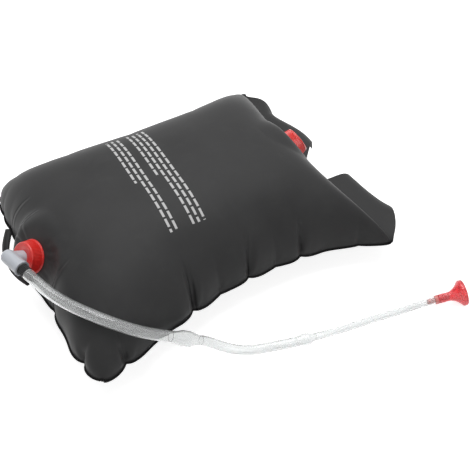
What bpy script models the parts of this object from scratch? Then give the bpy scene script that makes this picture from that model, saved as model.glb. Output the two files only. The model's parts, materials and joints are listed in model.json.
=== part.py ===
"""Camp shower bag, filled and lying flat, with its spouts, caps, outlet elbow, hose and shower head.

X runs along the bag from the outlet end (-X) to the filler end (+X), Y runs across it, and Z is up.
The origin is on the flat patch that the bag rests on. Lengths are in metres.
"""

import math

import bmesh
import bpy
import numpy as np
from mathutils import Euler, Matrix, Vector

MILLIMETRE = 0.001

# Clearances and cutting
SEAT_GAP = 0.3 * MILLIMETRE
CUT_OVERRUN = 4 * MILLIMETRE
MERGE_DISTANCE = 0.01 * MILLIMETRE

# Water bag: two welded plies
EAR_LENGTH = 423 * MILLIMETRE
EAR_WIDTH = 375 * MILLIMETRE
OUTLET_END_BULGE = 9 * MILLIMETRE
OUTLET_NEAR_LOBE = 7 * MILLIMETRE
OUTLET_SPOUT_LOBE = 9 * MILLIMETRE
OUTLET_LOBE_SHARE = 0.3
OUTLET_BULGE_POWER = 4
FILL_END_DRAW = 34 * MILLIMETRE
NEAR_SIDE_DRAW = 52 * MILLIMETRE
FAR_SIDE_DRAW = 37 * MILLIMETRE
OUTLET_DRAW_POWER = 1.5
FILL_DRAW_POWER = 3.0
EAR_ROUNDING = 4 * MILLIMETRE
SEAM_HEIGHT = 52 * MILLIMETRE
CROWN_HEIGHT = 95 * MILLIMETRE
BELLY_DEPTH = 78 * MILLIMETRE
SHEET_THICKNESS = 0.8 * MILLIMETRE
WELD_WIDTH = 6 * MILLIMETRE
WELD_GAP = 0.5 * MILLIMETRE
OUTLET_END_FULLNESS = 4.5
FILL_END_FULLNESS = 6.0
SIDE_FULLNESS = 3.2
EAR_SHARPNESS = 10
# Height of each ear above or below the seam, as shares of the seam's height
OUTLET_FAR_EAR_SHARE = -0.22
OUTLET_NEAR_EAR_SHARE = -0.10
FILL_FAR_EAR_SHARE = 0.36
FILL_NEAR_EAR_SHARE = -0.10

# Hanging flap past the filler end, two plies with a hand notch between its tabs
FLAP_DEPTH = 100 * MILLIMETRE
FLAP_ROUNDING_POWER = 3
FLAP_FLOOR_GAP = 2 * MILLIMETRE
FLAP_NEAR_SHELF = 36 * MILLIMETRE
FLAP_FAR_SHELF = 6 * MILLIMETRE
FLAP_TUCK_START = 0.3
FLAP_TUCK_SPAN = 0.2
FLAP_BEND = 45 * MILLIMETRE
FLAP_DROOP = math.radians(75)
FLAP_PATH_STEPS = 40
FLAP_WAVE = 7 * MILLIMETRE
FLAP_WAVES = 1.3
FLAP_WAVE_SHIFT = 0.16
FLAP_WAVE_FADE_POWER = 8
NOTCH_ROOT_NEAR_Y = -44 * MILLIMETRE
NOTCH_ROOT_FAR_Y = 2 * MILLIMETRE
NOTCH_MOUTH_NEAR_Y = -52 * MILLIMETRE
NOTCH_MOUTH_FAR_Y = 85 * MILLIMETRE
NOTCH_CORNER = 10 * MILLIMETRE

# Spouts, one on each end of the upper ply
SPOUT_FLANGE_RADIUS = 20 * MILLIMETRE
SPOUT_FLANGE_THICKNESS = 1.5 * MILLIMETRE
SPOUT_OUTER_RADIUS = 14.5 * MILLIMETRE
SPOUT_BORE_RADIUS = 12.3 * MILLIMETRE
SPOUT_HEIGHT = 9 * MILLIMETRE
PATCH_RADIUS = 36 * MILLIMETRE
PATCH_BLEND = 25 * MILLIMETRE
PATCH_SEAM_ROOM = 12 * MILLIMETRE
OUTLET_TILT = math.radians(34)
OUTLET_YAW = math.radians(15)
FILL_TILT = math.radians(27)
FILL_YAW = math.radians(0)
OUTLET_PLACE_SHARE = 0.835
FILL_PLACE_SHARE = 0.80
OUTLET_SINK = 1.6 * MILLIMETRE
FILL_SINK = -1 * MILLIMETRE

# Screw caps
CAP_BASE_RADIUS = 22 * MILLIMETRE
CAP_BASE_THICKNESS = 1.8 * MILLIMETRE
CAP_SKIRT_RADIUS = 19.6 * MILLIMETRE
CAP_TOP_RADIUS = 18.6 * MILLIMETRE
CAP_TOP_THICKNESS = 2.2 * MILLIMETRE
CAP_EDGE_CHAMFER = 1.2 * MILLIMETRE
CAP_RIB_DEPTH = 0.8 * MILLIMETRE
CAP_RIBS = 26
THREAD_ROOM = 1 * MILLIMETRE
GASKET_THICKNESS = 1.8 * MILLIMETRE
WASHER_THICKNESS = 1.5 * MILLIMETRE
SLIP_RING_THICKNESS = 0.8 * MILLIMETRE

# Outlet elbow and hose tail
ELBOW_FLANGE_RADIUS = 13.4 * MILLIMETRE
ELBOW_FLANGE_THICKNESS = 1.6 * MILLIMETRE
ELBOW_STUB_RADIUS = 8.5 * MILLIMETRE
ELBOW_ARM_RADIUS = 9.3 * MILLIMETRE
ELBOW_RIM_RADIUS = 10 * MILLIMETRE
ELBOW_RIM_LENGTH = 1.6 * MILLIMETRE
ELBOW_BORE_RADIUS = 6 * MILLIMETRE
ELBOW_SOCKET_RADIUS = 7.9 * MILLIMETRE
ELBOW_SOCKET_DEPTH = 8 * MILLIMETRE
ELBOW_KNUCKLE_RADIUS = 9.5 * MILLIMETRE
ELBOW_ARM_LENGTH = 25.5 * MILLIMETRE
ELBOW_CLEARANCE = 9 * MILLIMETRE
TAIL_COLLAR_RADIUS = 7.4 * MILLIMETRE
TAIL_COLLAR_LENGTH = 11 * MILLIMETRE
TAIL_RIB_DEPTH = 0.6 * MILLIMETRE
TAIL_RIBS = 12
TAIL_SPIGOT_RADIUS = 6.2 * MILLIMETRE
TAIL_BARB_RADIUS = 5 * MILLIMETRE
TAIL_BARB_LENGTH = 9 * MILLIMETRE
TAIL_BARB_STEPS = 3
TAIL_BORE_RADIUS = 3.4 * MILLIMETRE
TAIL_SEAL_LENGTH = 2 * MILLIMETRE

# Strap loop on the outlet end
STRAP_WIDTH = 9 * MILLIMETRE
STRAP_THICKNESS = 0.9 * MILLIMETRE
STRAP_FAR_Y = 105 * MILLIMETRE
STRAP_NEAR_Y = -58 * MILLIMETRE
STRAP_REACH = 15 * MILLIMETRE
STRAP_SAG = 6 * MILLIMETRE
STRAP_TWIST = math.radians(40)
STRAP_PEAK_SHARE = 0.27
STRAP_CELLS = 28

# Hose and its joiners
HOSE_1_RADIUS = 7 * MILLIMETRE
HOSE_2_RADIUS = 6.4 * MILLIMETRE
HOSE_3_RADIUS = 4.8 * MILLIMETRE
HOSE_POINT_SPACING = 15 * MILLIMETRE
HOSE_LEAD = 3 * MILLIMETRE
JOINER_1_RADIUS = 9.8 * MILLIMETRE
JOINER_1_LENGTH = 42 * MILLIMETRE
JOINER_2_RADIUS = 7.9 * MILLIMETRE
JOINER_2_LENGTH = 26 * MILLIMETRE
JOINER_BAND_SHARE = 0.10

# Shower head
STEM_BARB_RADIUS = 3.3 * MILLIMETRE
STEM_BARB_LENGTH = 10 * MILLIMETRE
STEM_COLLAR_RADIUS = 6 * MILLIMETRE
STEM_COLLAR_LENGTH = 4 * MILLIMETRE
STEM_RADIUS = 3.9 * MILLIMETRE
STEM_PROUD = 2 * MILLIMETRE
STEM_BORE_RADIUS = 2 * MILLIMETRE
STEM_GROOVE_DEPTH = 0.8 * MILLIMETRE
STEM_GROOVE_LENGTH = 2.2 * MILLIMETRE
BELL_NECK_RADIUS = 6 * MILLIMETRE
BELL_NECK_LENGTH = 13 * MILLIMETRE
BELL_RIM_RADIUS = 17.4 * MILLIMETRE
BELL_FLARE_LENGTH = 19 * MILLIMETRE
BELL_RIM_LENGTH = 3.5 * MILLIMETRE
BELL_WALL = 1.4 * MILLIMETRE
BELL_FLARE_SHARES = (0.85, 0.7, 0.55, 0.4, 0.2)
BELL_FLARE_POWER = 1.7
ROSE_THICKNESS = 1.4 * MILLIMETRE
ROSE_DOME = 1.6 * MILLIMETRE
ROSE_KNEE_SHARE = 0.6
ROSE_HOLE_RADIUS = 0.8 * MILLIMETRE
ROSE_HOLE_SIDES = 6
ROSE_RING_HOLES = (1, 6, 12)

# Route of the hose in world places, from the elbow's mouth to the shower head
HOSE_1_ROUTE = (
    (-0.2296, -0.0761, 0.1050),
    (-0.2205, -0.0985, 0.1040),
    (-0.2053, -0.1298, 0.1068),
    (-0.1880, -0.1545, 0.1048),
    (-0.1612, -0.1722, 0.0880),
)
JOINER_1_CENTRE = (-0.1056, -0.1822, 0.0450)
JOINER_1_HEADING = (0.826, -0.222, -0.520)
HOSE_2_ROUTE = (
    (-0.0640, -0.1990, 0.0180),
    (-0.0324, -0.2159, 0.0080),
    (-0.0043, -0.2255, 0.0072),
)
JOINER_2_CENTRE = (0.0343, -0.2381, 0.0085)
JOINER_2_HEADING = (0.968, -0.250, 0.0)
HOSE_3_ROUTE = (
    (0.0812, -0.2477, 0.0058),
    (0.1096, -0.2530, 0.0055),
    (0.1384, -0.2584, 0.0055),
    (0.1750, -0.2660, 0.0055),
)
HEAD_ENTRY = (0.2160, -0.2765, 0.0090)
HEAD_HEADING = (0.90, -0.37, 0.22)

# Facets
BAG_LONG_CELLS = 24
# Extra row of the sheets, just past the rim of the outlet spout's weld
OUTLET_EXTRA_STATION = -0.945
BAG_CROSS_CELLS = 20
BAG_FLAP_CELLS = 5
TURNED_STEPS = 24
BELL_STEPS = 24
HOSE_SIDE_RESOLUTION = 3
HOSE_LEAST_SPANS = 4
ROUTE_FINE_STEPS = 40
SMOOTH_ANGLE = math.radians(35)
RIB_SMOOTH_ANGLE = math.radians(12)

PARTS_COLLECTION = "camp_shower_bag"
CUTTERS_COLLECTION = "cutters"


def clear_scene():
    """Remove whatever objects the file holds."""
    for item in list(bpy.data.objects):
        bpy.data.objects.remove(item, do_unlink=True)


def make_collection(name):
    """Return a new collection linked to the scene."""
    collection = bpy.data.collections.new(name)
    bpy.context.scene.collection.children.link(collection)
    return collection


def make_material(name, colour, roughness, metallic=0.0):
    """Return a Principled material of one colour."""
    material = bpy.data.materials.new(name)
    material.use_nodes = True
    shader = material.node_tree.nodes["Principled BSDF"]
    shader.inputs["Base Color"].default_value = (*colour, 1.0)
    shader.inputs["Roughness"].default_value = roughness
    shader.inputs["Metallic"].default_value = metallic
    material.diffuse_color = (*colour, 1.0)
    return material


def add_part(name, mesh, material):
    """Link a mesh to the parts collection under its own name."""
    mesh.materials.clear()
    mesh.materials.append(material)
    part = bpy.data.objects.new(name, mesh)
    bpy.data.collections[PARTS_COLLECTION].objects.link(part)
    return part


def add_cutter(name, mesh):
    """Link a mesh to the cutters collection, hidden from the finished part."""
    cutter = bpy.data.objects.new(name, mesh)
    cutter.hide_render = True
    cutter.display_type = "WIRE"
    bpy.data.collections[CUTTERS_COLLECTION].objects.link(cutter)
    return cutter


def evaluated_mesh(item):
    """Return a copy of an object's mesh with its modifiers applied."""
    graph = bpy.context.evaluated_depsgraph_get()
    return bpy.data.meshes.new_from_object(item.evaluated_get(graph))


def cut(item, cutters):
    """Subtract each cutter from an object."""
    for cutter in cutters:
        modifier = item.modifiers.new("cut_" + cutter.name, "BOOLEAN")
        modifier.operation = "DIFFERENCE"
        modifier.solver = "EXACT"
        modifier.object = cutter


def cylinder_mesh(name, radius, low, high, sides=TURNED_STEPS):
    """Closed cylinder along local Z from low to high."""
    shape = bmesh.new()
    bmesh.ops.create_cone(
        shape,
        cap_ends=True,
        segments=sides,
        radius1=radius,
        radius2=radius,
        depth=high - low,
        matrix=Matrix.Translation((0, 0, (low + high) / 2)),
    )
    mesh = bpy.data.meshes.new(name)
    shape.to_mesh(mesh)
    shape.free()
    return mesh


def turned_mesh(name, profile, steps=TURNED_STEPS, ring=False):
    """Turn a profile of (radius, height) points about local Z; a ring's profile closes on itself."""
    outline = bpy.data.meshes.new(name + "_profile")
    points = [(radius, 0, height) for radius, height in profile]
    links = [(index, index + 1) for index in range(len(points) - 1)]
    if ring:
        links.append((len(points) - 1, 0))
    outline.from_pydata(points, links, [])
    blank = bpy.data.objects.new(name + "_blank", outline)
    bpy.context.scene.collection.objects.link(blank)
    screw = blank.modifiers.new("turn", "SCREW")
    screw.axis = "Z"
    screw.steps = steps
    screw.render_steps = steps
    screw.use_merge_vertices = True
    screw.merge_threshold = MERGE_DISTANCE
    bpy.context.view_layer.update()
    mesh = evaluated_mesh(blank)
    bpy.data.objects.remove(blank, do_unlink=True)
    mesh.name = name
    mesh.shade_smooth()
    mesh.set_sharp_from_angle(angle=SMOOTH_ANGLE)
    return mesh


def flute(mesh, steps, depth, heights, radii):
    """Draw in every second column of a turned wall that lies between two heights and two radii."""
    for vertex in mesh.vertices:
        radius = math.hypot(vertex.co.x, vertex.co.y)
        if not (radii[0] <= radius <= radii[1] and heights[0] <= vertex.co.z <= heights[1]):
            continue
        column = round(math.atan2(vertex.co.y, vertex.co.x) / math.tau * steps)
        if column % 2:
            vertex.co.x *= 1 - depth / radius
            vertex.co.y *= 1 - depth / radius
    mesh.set_sharp_from_angle(angle=RIB_SMOOTH_ANGLE)


def grid_mesh(name, places):
    """Sheet of quads through an array of places, indexed along and across."""
    rows, columns = places.shape[:2]
    corners = np.arange(rows * columns).reshape(rows, columns)
    quads = np.stack([corners[:-1, :-1], corners[1:, :-1], corners[1:, 1:], corners[:-1, 1:]], axis=-1)
    mesh = bpy.data.meshes.new(name)
    mesh.from_pydata(places.reshape(-1, 3).tolist(), [], quads.reshape(-1, 4).tolist())
    mesh.shade_smooth()
    return mesh


def smooth_step(share):
    """Rise from 0 to 1 with level ends."""
    share = np.clip(share, 0, 1)
    return share * share * (3 - 2 * share)


def bulge(share, fullness):
    """Height share of a filled section: 1 at the middle, 0 and steep at the seam."""
    return np.sqrt(np.clip(1 - np.abs(share) ** fullness, 0, 1))


def seam_height(along, across):
    """Height of the seam, which the four ears lift or lower."""
    outlet = OUTLET_NEAR_EAR_SHARE + (OUTLET_FAR_EAR_SHARE - OUTLET_NEAR_EAR_SHARE) * (1 + across) / 2
    filler = FILL_NEAR_EAR_SHARE + (FILL_FAR_EAR_SHARE - FILL_NEAR_EAR_SHARE) * (1 + across) / 2
    tilt = outlet + (filler - outlet) * (1 + along) / 2
    cornering = np.abs(along * across) ** 2
    return SEAM_HEIGHT * (1 + tilt * cornering)


def outlet_reach(across_sine):
    """Distance of the outlet end's seam from the bag's middle, with lobes at the near ear and the spout."""
    lobe = OUTLET_NEAR_LOBE * smooth_step(-across_sine)
    lobe += OUTLET_SPOUT_LOBE * smooth_step(1 - np.abs(across_sine) / OUTLET_LOBE_SHARE)
    return EAR_LENGTH / 2 + OUTLET_END_BULGE * (1 - across_sine**OUTLET_BULGE_POWER) + lobe


def chamber_place(along, across, upper):
    """Inner face of a ply at stations along and across, each from -1 to 1 at the seams."""
    along_sine = np.sin(math.pi / 2 * along)
    across_sine = np.sin(math.pi / 2 * across)
    outlet_half = outlet_reach(across_sine)
    fill_half = EAR_LENGTH / 2 - FILL_END_DRAW * (1 - across_sine**2)
    side_draw = np.where(across < 0, NEAR_SIDE_DRAW, FAR_SIDE_DRAW)
    draw_power = np.where((along < 0) & (across < 0), OUTLET_DRAW_POWER, FILL_DRAW_POWER)
    side_half = EAR_WIDTH / 2 - side_draw * (1 - np.abs(along_sine) ** draw_power)
    rounding = EAR_ROUNDING * np.abs(along_sine * across_sine) ** EAR_SHARPNESS
    x = np.where(along < 0, outlet_half, fill_half) * along_sine - np.sign(along) * rounding
    y = side_half * across_sine - np.sign(across) * rounding
    end_height = np.where(
        along < 0, bulge(along_sine, OUTLET_END_FULLNESS), bulge(along_sine, FILL_END_FULLNESS)
    )
    height = end_height * bulge(across_sine, SIDE_FULLNESS)
    seam = seam_height(along, across)
    floor = SHEET_THICKNESS + WELD_GAP / 2
    z = seam + CROWN_HEIGHT * height if upper else np.maximum(seam - BELLY_DEPTH * height, floor)
    return np.stack(np.broadcast_arrays(x, y, z), axis=-1)


def flap_reach(across):
    """Length of the flap past the seam, rounded off towards the ears."""
    rounded = 1 - np.abs(np.sin(math.pi / 2 * across)) ** FLAP_ROUNDING_POWER
    return WELD_WIDTH + (FLAP_DEPTH - WELD_WIDTH) * rounded


def flap_path(reach, across):
    """Advance and fall of the flap after each length of it: a shelf that stands out, then a bend down."""
    tuck = smooth_step((across - FLAP_TUCK_START) / FLAP_TUCK_SPAN)
    shelf = FLAP_NEAR_SHELF + (FLAP_FAR_SHELF - FLAP_NEAR_SHELF) * tuck
    shares = np.linspace(0, 1, FLAP_PATH_STEPS + 1).reshape(-1, 1, 1)
    droop = FLAP_DROOP * smooth_step((reach * shares - shelf) / FLAP_BEND)
    return reach * np.cos(droop).mean(axis=0), reach * np.sin(droop).mean(axis=0)


def stations():
    """Stations of the sheet's grid: chamber share and distance past the seam, along and across."""
    chamber = np.sort(np.append(np.linspace(-1, 1, BAG_LONG_CELLS + 1), OUTLET_EXTRA_STATION))
    flap = np.arange(1, BAG_FLAP_CELLS + 1) / BAG_FLAP_CELLS
    along = np.concatenate([[-1], chamber, np.ones(BAG_FLAP_CELLS)])
    past_along = np.concatenate([[-1], np.zeros(len(chamber)), flap])
    across = np.concatenate([[-1], np.linspace(-1, 1, BAG_CROSS_CELLS + 1), [1]])
    past_across = np.concatenate([[-1], np.zeros(BAG_CROSS_CELLS + 1), [1]])
    return along, past_along, across, past_across


def sheet_places(upper):
    """Inner face of a whole ply: the chamber, the weld flange round it and the flap."""
    along, past_along, across, past_across = stations()
    along, across = np.meshgrid(along, across, indexing="ij")
    past_along, past_across = np.meshgrid(past_along, past_across, indexing="ij")
    places = chamber_place(along, across, upper)
    corner = np.where((past_along < 0) & (past_across != 0), math.sqrt(0.5), 1.0)
    places[..., 0] -= WELD_WIDTH * corner * (past_along < 0)
    places[..., 1] += WELD_WIDTH * corner * past_across
    on_flap = past_along > 0
    advance, fall = flap_path(np.clip(past_along, 0, 1) * flap_reach(across), across)
    folds = np.sin(math.tau * FLAP_WAVES * across + math.pi * FLAP_WAVE_SHIFT) ** 2
    wave = FLAP_WAVE * past_along**2 * folds * (1 - across**FLAP_WAVE_FADE_POWER)
    room = seam_height(along, across) - FLAP_FLOOR_GAP
    places[..., 0] += np.where(on_flap, advance, 0)
    places[..., 2] += np.where(on_flap, np.maximum(wave - fall, -room), 0)
    places[..., 2] += WELD_GAP / 2 if upper else -WELD_GAP / 2
    return places


def spout_frame(place_share, tilt, yaw, sink, outward):
    """World matrix of a spout: origin on the ply's outer face, Z along the spout's axis."""
    along = outward * place_share
    start = chamber_place(np.array(along), np.array(0.0), True)
    turn = Matrix.Rotation(yaw, 3, "Z")
    axis = turn @ Vector((outward * math.cos(tilt), 0, math.sin(tilt)))
    side = turn @ Vector((0, -outward, 0))
    up = axis.cross(side)
    frame = Matrix((side, up, axis)).transposed().to_4x4()
    lift = Vector((0, 0, WELD_GAP / 2)) + axis * (SHEET_THICKNESS - sink)
    frame.translation = Vector(start.tolist()) + lift
    return frame


def flatten_patch(places, frame):
    """Draw a ply's inner face onto the plane that a spout is welded to, but leave its seam where it is."""
    axis = np.array(frame.col[2][:3])
    centre = np.array(frame.translation) - axis * SHEET_THICKNESS
    offset = places - centre
    height = offset @ axis
    radius = np.linalg.norm(offset - height[..., None] * axis, axis=-1)
    share = 1 - smooth_step((radius - PATCH_RADIUS) / PATCH_BLEND)
    share *= smooth_step((places[..., 2] - SEAM_HEIGHT) / PATCH_SEAM_ROOM)
    share = np.where(np.abs(height) < PATCH_BLEND, share, 0)
    return places - (share * height)[..., None] * axis


def make_sheet(name, places, material, flip):
    """Give a ply its thickness, outwards from its inner face."""
    mesh = grid_mesh(name, places)
    if flip:
        mesh.flip_normals()
    sheet = add_part(name, mesh, material)
    wall = sheet.modifiers.new("wall", "SOLIDIFY")
    wall.thickness = SHEET_THICKNESS
    wall.offset = 1
    wall.use_even_offset = True
    return sheet


def notch_cutter():
    """Prism that opens the hand notch between the flap's tabs."""
    edge = EAR_LENGTH / 2 - FILL_END_DRAW + FLAP_DEPTH + CUT_OVERRUN
    root = EAR_LENGTH / 2 - FILL_END_DRAW + WELD_WIDTH
    corners = (
        (edge, NOTCH_MOUTH_NEAR_Y),
        (edge, NOTCH_MOUTH_FAR_Y),
        (root + NOTCH_CORNER, NOTCH_ROOT_FAR_Y),
        (root, NOTCH_ROOT_FAR_Y - NOTCH_CORNER),
        (root, NOTCH_ROOT_NEAR_Y + NOTCH_CORNER),
        (root + NOTCH_CORNER, NOTCH_ROOT_NEAR_Y),
    )
    shape = bmesh.new()
    base = shape.faces.new([shape.verts.new((x, y, -CUT_OVERRUN)) for x, y in corners])
    walls = bmesh.ops.extrude_face_region(shape, geom=[base])
    top = [item for item in walls["geom"] if isinstance(item, bmesh.types.BMVert)]
    bmesh.ops.translate(shape, verts=top, vec=(0, 0, SEAM_HEIGHT + CROWN_HEIGHT))
    bmesh.ops.recalc_face_normals(shape, faces=shape.faces)
    mesh = bpy.data.meshes.new("notch_cutter")
    shape.to_mesh(mesh)
    shape.free()
    return add_cutter("notch_cutter", mesh)


def make_bag(frames, material):
    """Upper ply with its two spout holes, and lower ply; both carry the flap."""
    notch = notch_cutter()
    holes = []
    for label, frame in frames.items():
        radius = SPOUT_OUTER_RADIUS + SEAT_GAP
        hole = add_cutter(label + "_hole", cylinder_mesh(label + "_hole", radius, -CUT_OVERRUN, CUT_OVERRUN))
        hole.matrix_world = frame
        holes.append(hole)
    places = sheet_places(True)
    for frame in frames.values():
        places = flatten_patch(places, frame)
    upper = make_sheet("upper_sheet", places, material, False)
    lower = make_sheet("lower_sheet", sheet_places(False), material, True)
    cut(upper, [notch] + holes)
    cut(lower, [notch])


def strap_places():
    """Centre face of the strap: a bowed strip that twists towards its middle."""
    share = np.linspace(0, 1, STRAP_CELLS + 1)
    y = STRAP_FAR_Y + (STRAP_NEAR_Y - STRAP_FAR_Y) * share
    rise = np.sin(math.pi / 2 * np.minimum(share / STRAP_PEAK_SHARE, 1))
    bow = np.where(
        share < STRAP_PEAK_SHARE,
        rise,
        np.cos(math.pi / 2 * (share - STRAP_PEAK_SHARE) / (1 - STRAP_PEAK_SHARE)) ** 2,
    )
    across_sine = y / (EAR_WIDTH / 2)
    x = -outlet_reach(across_sine) - WELD_WIDTH - STRAP_REACH * bow
    drop = WELD_GAP / 2 + SHEET_THICKNESS + SEAT_GAP + STRAP_THICKNESS
    seam_z = seam_height(np.full_like(y, -1.0), 2 / math.pi * np.arcsin(across_sine))
    z = seam_z - drop - STRAP_SAG * bow
    spine = np.stack([x, y, z], axis=-1)
    heading = np.gradient(spine, axis=0)
    heading /= np.linalg.norm(heading, axis=-1, keepdims=True)
    level = np.cross(heading, [0, 0, 1])
    level /= np.linalg.norm(level, axis=-1, keepdims=True)
    twist = STRAP_TWIST * bow[:, None]
    width = level * np.cos(twist) + np.array([0, 0, 1]) * np.sin(twist)
    offsets = np.array([-0.5, 0, 0.5]) * STRAP_WIDTH
    return spine[:, None, :] + width[:, None, :] * offsets[None, :, None]


def make_strap(material):
    """Loop of ply tucked under the outlet end's weld."""
    strap = add_part("outlet_strap", grid_mesh("outlet_strap", strap_places()), material)
    wall = strap.modifiers.new("wall", "SOLIDIFY")
    wall.thickness = STRAP_THICKNESS
    wall.offset = 0


def spout_profile():
    """Spout with its weld flange under the ply and its bore open right through."""
    flange_top = -SHEET_THICKNESS - SEAT_GAP
    flange_low = flange_top - SPOUT_FLANGE_THICKNESS
    return (
        (SPOUT_BORE_RADIUS, SPOUT_HEIGHT),
        (SPOUT_OUTER_RADIUS, SPOUT_HEIGHT),
        (SPOUT_OUTER_RADIUS, flange_top),
        (SPOUT_FLANGE_RADIUS, flange_top),
        (SPOUT_FLANGE_RADIUS, flange_low),
        (SPOUT_BORE_RADIUS, flange_low),
    )


def cap_profile(inner_top, hole_radius):
    """Screw cap over a spout; with a hole radius of zero its top is closed."""
    outer_top = inner_top + CAP_TOP_THICKNESS
    room = SPOUT_OUTER_RADIUS + THREAD_ROOM
    rim_top = SEAT_GAP + CAP_BASE_THICKNESS
    return (
        (hole_radius, outer_top),
        (CAP_TOP_RADIUS - CAP_EDGE_CHAMFER, outer_top),
        (CAP_TOP_RADIUS, outer_top - CAP_EDGE_CHAMFER),
        (CAP_SKIRT_RADIUS, rim_top),
        (CAP_BASE_RADIUS, rim_top),
        (CAP_BASE_RADIUS, SEAT_GAP),
        (room, SEAT_GAP),
        (room, inner_top),
        (hole_radius, inner_top),
    )


def cap_mesh(name, inner_top, hole_radius):
    """Turned cap whose skirt is ribbed between its base rim and its top edge."""
    steps = 2 * CAP_RIBS
    mesh = turned_mesh(name, cap_profile(inner_top, hole_radius), steps, ring=hole_radius > 0)
    low = SEAT_GAP + CAP_BASE_THICKNESS - MERGE_DISTANCE
    high = inner_top + CAP_TOP_THICKNESS - CAP_EDGE_CHAMFER + MERGE_DISTANCE
    outside_bore = (SPOUT_OUTER_RADIUS + THREAD_ROOM + CAP_TOP_RADIUS) / 2
    inside_rim = (CAP_SKIRT_RADIUS + CAP_BASE_RADIUS) / 2
    flute(mesh, steps, CAP_RIB_DEPTH, (low, high), (outside_bore, inside_rim))
    return mesh


def ring_profile(inner, outer, low, high):
    """Plain ring of square section."""
    return (
        (inner, high),
        (outer, high),
        (outer, low),
        (inner, low),
    )


def place(part, empty, offset=(0, 0, 0)):
    """Parent a part to an empty at a local offset."""
    part.parent = empty
    part.location = offset


def make_axis(name, frame):
    """Empty whose Z is a moving piece's axis."""
    empty = bpy.data.objects.new(name, None)
    empty.matrix_world = frame
    bpy.data.collections[PARTS_COLLECTION].objects.link(empty)
    return empty


def make_filler(frame, materials):
    """Filler spout, its gasket and its screw cap."""
    axis = make_axis("filler_axis", frame)
    neck = add_part("fill_neck", turned_mesh("fill_neck", spout_profile(), ring=True), materials["spout"])
    place(neck, axis)
    gasket_low = SPOUT_HEIGHT + SEAT_GAP
    gasket_high = gasket_low + GASKET_THICKNESS
    gasket_outer = SPOUT_OUTER_RADIUS + THREAD_ROOM - SEAT_GAP
    gasket_rings = ring_profile(SPOUT_BORE_RADIUS, gasket_outer, gasket_low, gasket_high)
    gasket = add_part("fill_gasket", turned_mesh("fill_gasket", gasket_rings, ring=True), materials["seal"])
    place(gasket, axis)
    cap = add_part("fill_cap", cap_mesh("fill_cap", gasket_high + SEAT_GAP, 0), materials["cap"])
    place(cap, axis)


def outlet_stack():
    """Heights of the outlet's rings and of the elbow's flange above the ply's outer face."""
    washer = SPOUT_HEIGHT + SEAT_GAP
    flange = washer + WASHER_THICKNESS + SEAT_GAP
    slip = flange + ELBOW_FLANGE_THICKNESS + SEAT_GAP
    nut = slip + SLIP_RING_THICKNESS + SEAT_GAP
    return {"washer": washer, "flange": flange, "slip": slip, "nut": nut}


def elbow_corner_height():
    """Height of the elbow's corner, where its two arms' axes cross."""
    front = outlet_stack()["nut"] + CAP_TOP_THICKNESS
    return front + ELBOW_CLEARANCE + ELBOW_ARM_RADIUS


def elbow_frame(frame):
    """World matrix of the elbow's arm: origin at the corner, Z out of the mouth."""
    corner = Matrix.Translation((0, 0, elbow_corner_height()))
    aim = Matrix.Rotation(-math.pi / 2, 4, "Y")
    return frame @ corner @ aim


def mesh_in(mesh, matrix):
    """Return a mesh moved by a matrix."""
    mesh.transform(matrix)
    return mesh


def join_meshes(name, meshes, material, axis):
    """Union closed meshes, all in the axis empty's own space, into one part."""
    part = add_part(name, meshes[0], material)
    place(part, axis)
    for index, mesh in enumerate(meshes[1:]):
        piece = add_cutter(f"{name}_piece_{index}", mesh)
        place(piece, axis)
        modifier = part.modifiers.new(f"join_{index}", "BOOLEAN")
        modifier.operation = "UNION"
        modifier.solver = "EXACT"
        modifier.object = piece
    return part


def make_elbow(axis, materials):
    """Elbow: flange and stub along the spout's axis, then an arm square to it with a socket at its mouth."""
    corner = elbow_corner_height()
    low = outlet_stack()["flange"]
    arm = elbow_frame(Matrix.Identity(4))
    stub = cylinder_mesh("elbow_stub", ELBOW_STUB_RADIUS, low + ELBOW_FLANGE_THICKNESS / 2, corner)
    flange = cylinder_mesh("elbow_flange", ELBOW_FLANGE_RADIUS, low, low + ELBOW_FLANGE_THICKNESS)
    limb = cylinder_mesh("elbow_limb", ELBOW_ARM_RADIUS, 0, ELBOW_ARM_LENGTH - ELBOW_RIM_LENGTH / 2)
    rim = cylinder_mesh("elbow_rim", ELBOW_RIM_RADIUS, ELBOW_ARM_LENGTH - ELBOW_RIM_LENGTH, ELBOW_ARM_LENGTH)
    knuckle_shape = bmesh.new()
    bmesh.ops.create_uvsphere(
        knuckle_shape, u_segments=TURNED_STEPS, v_segments=TURNED_STEPS // 2, radius=ELBOW_KNUCKLE_RADIUS
    )
    knuckle = bpy.data.meshes.new("elbow_knuckle")
    knuckle_shape.to_mesh(knuckle)
    knuckle_shape.free()
    solids = [flange, stub, mesh_in(knuckle, arm), mesh_in(limb, arm), mesh_in(rim, arm)]
    elbow = join_meshes("outlet_elbow", solids, materials["elbow"], axis)
    mouth = ELBOW_ARM_LENGTH + CUT_OVERRUN
    socket_low = ELBOW_ARM_LENGTH - ELBOW_SOCKET_DEPTH
    bores = [
        cylinder_mesh("stub_bore", ELBOW_BORE_RADIUS, low - CUT_OVERRUN, corner + CUT_OVERRUN),
        mesh_in(cylinder_mesh("limb_bore", ELBOW_BORE_RADIUS, -CUT_OVERRUN, mouth), arm),
        mesh_in(cylinder_mesh("socket_bore", ELBOW_SOCKET_RADIUS, socket_low, mouth), arm),
    ]
    cutters = [add_cutter(mesh.name, mesh) for mesh in bores]
    for cutter in cutters:
        place(cutter, axis)
    cut(elbow, cutters)


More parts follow.
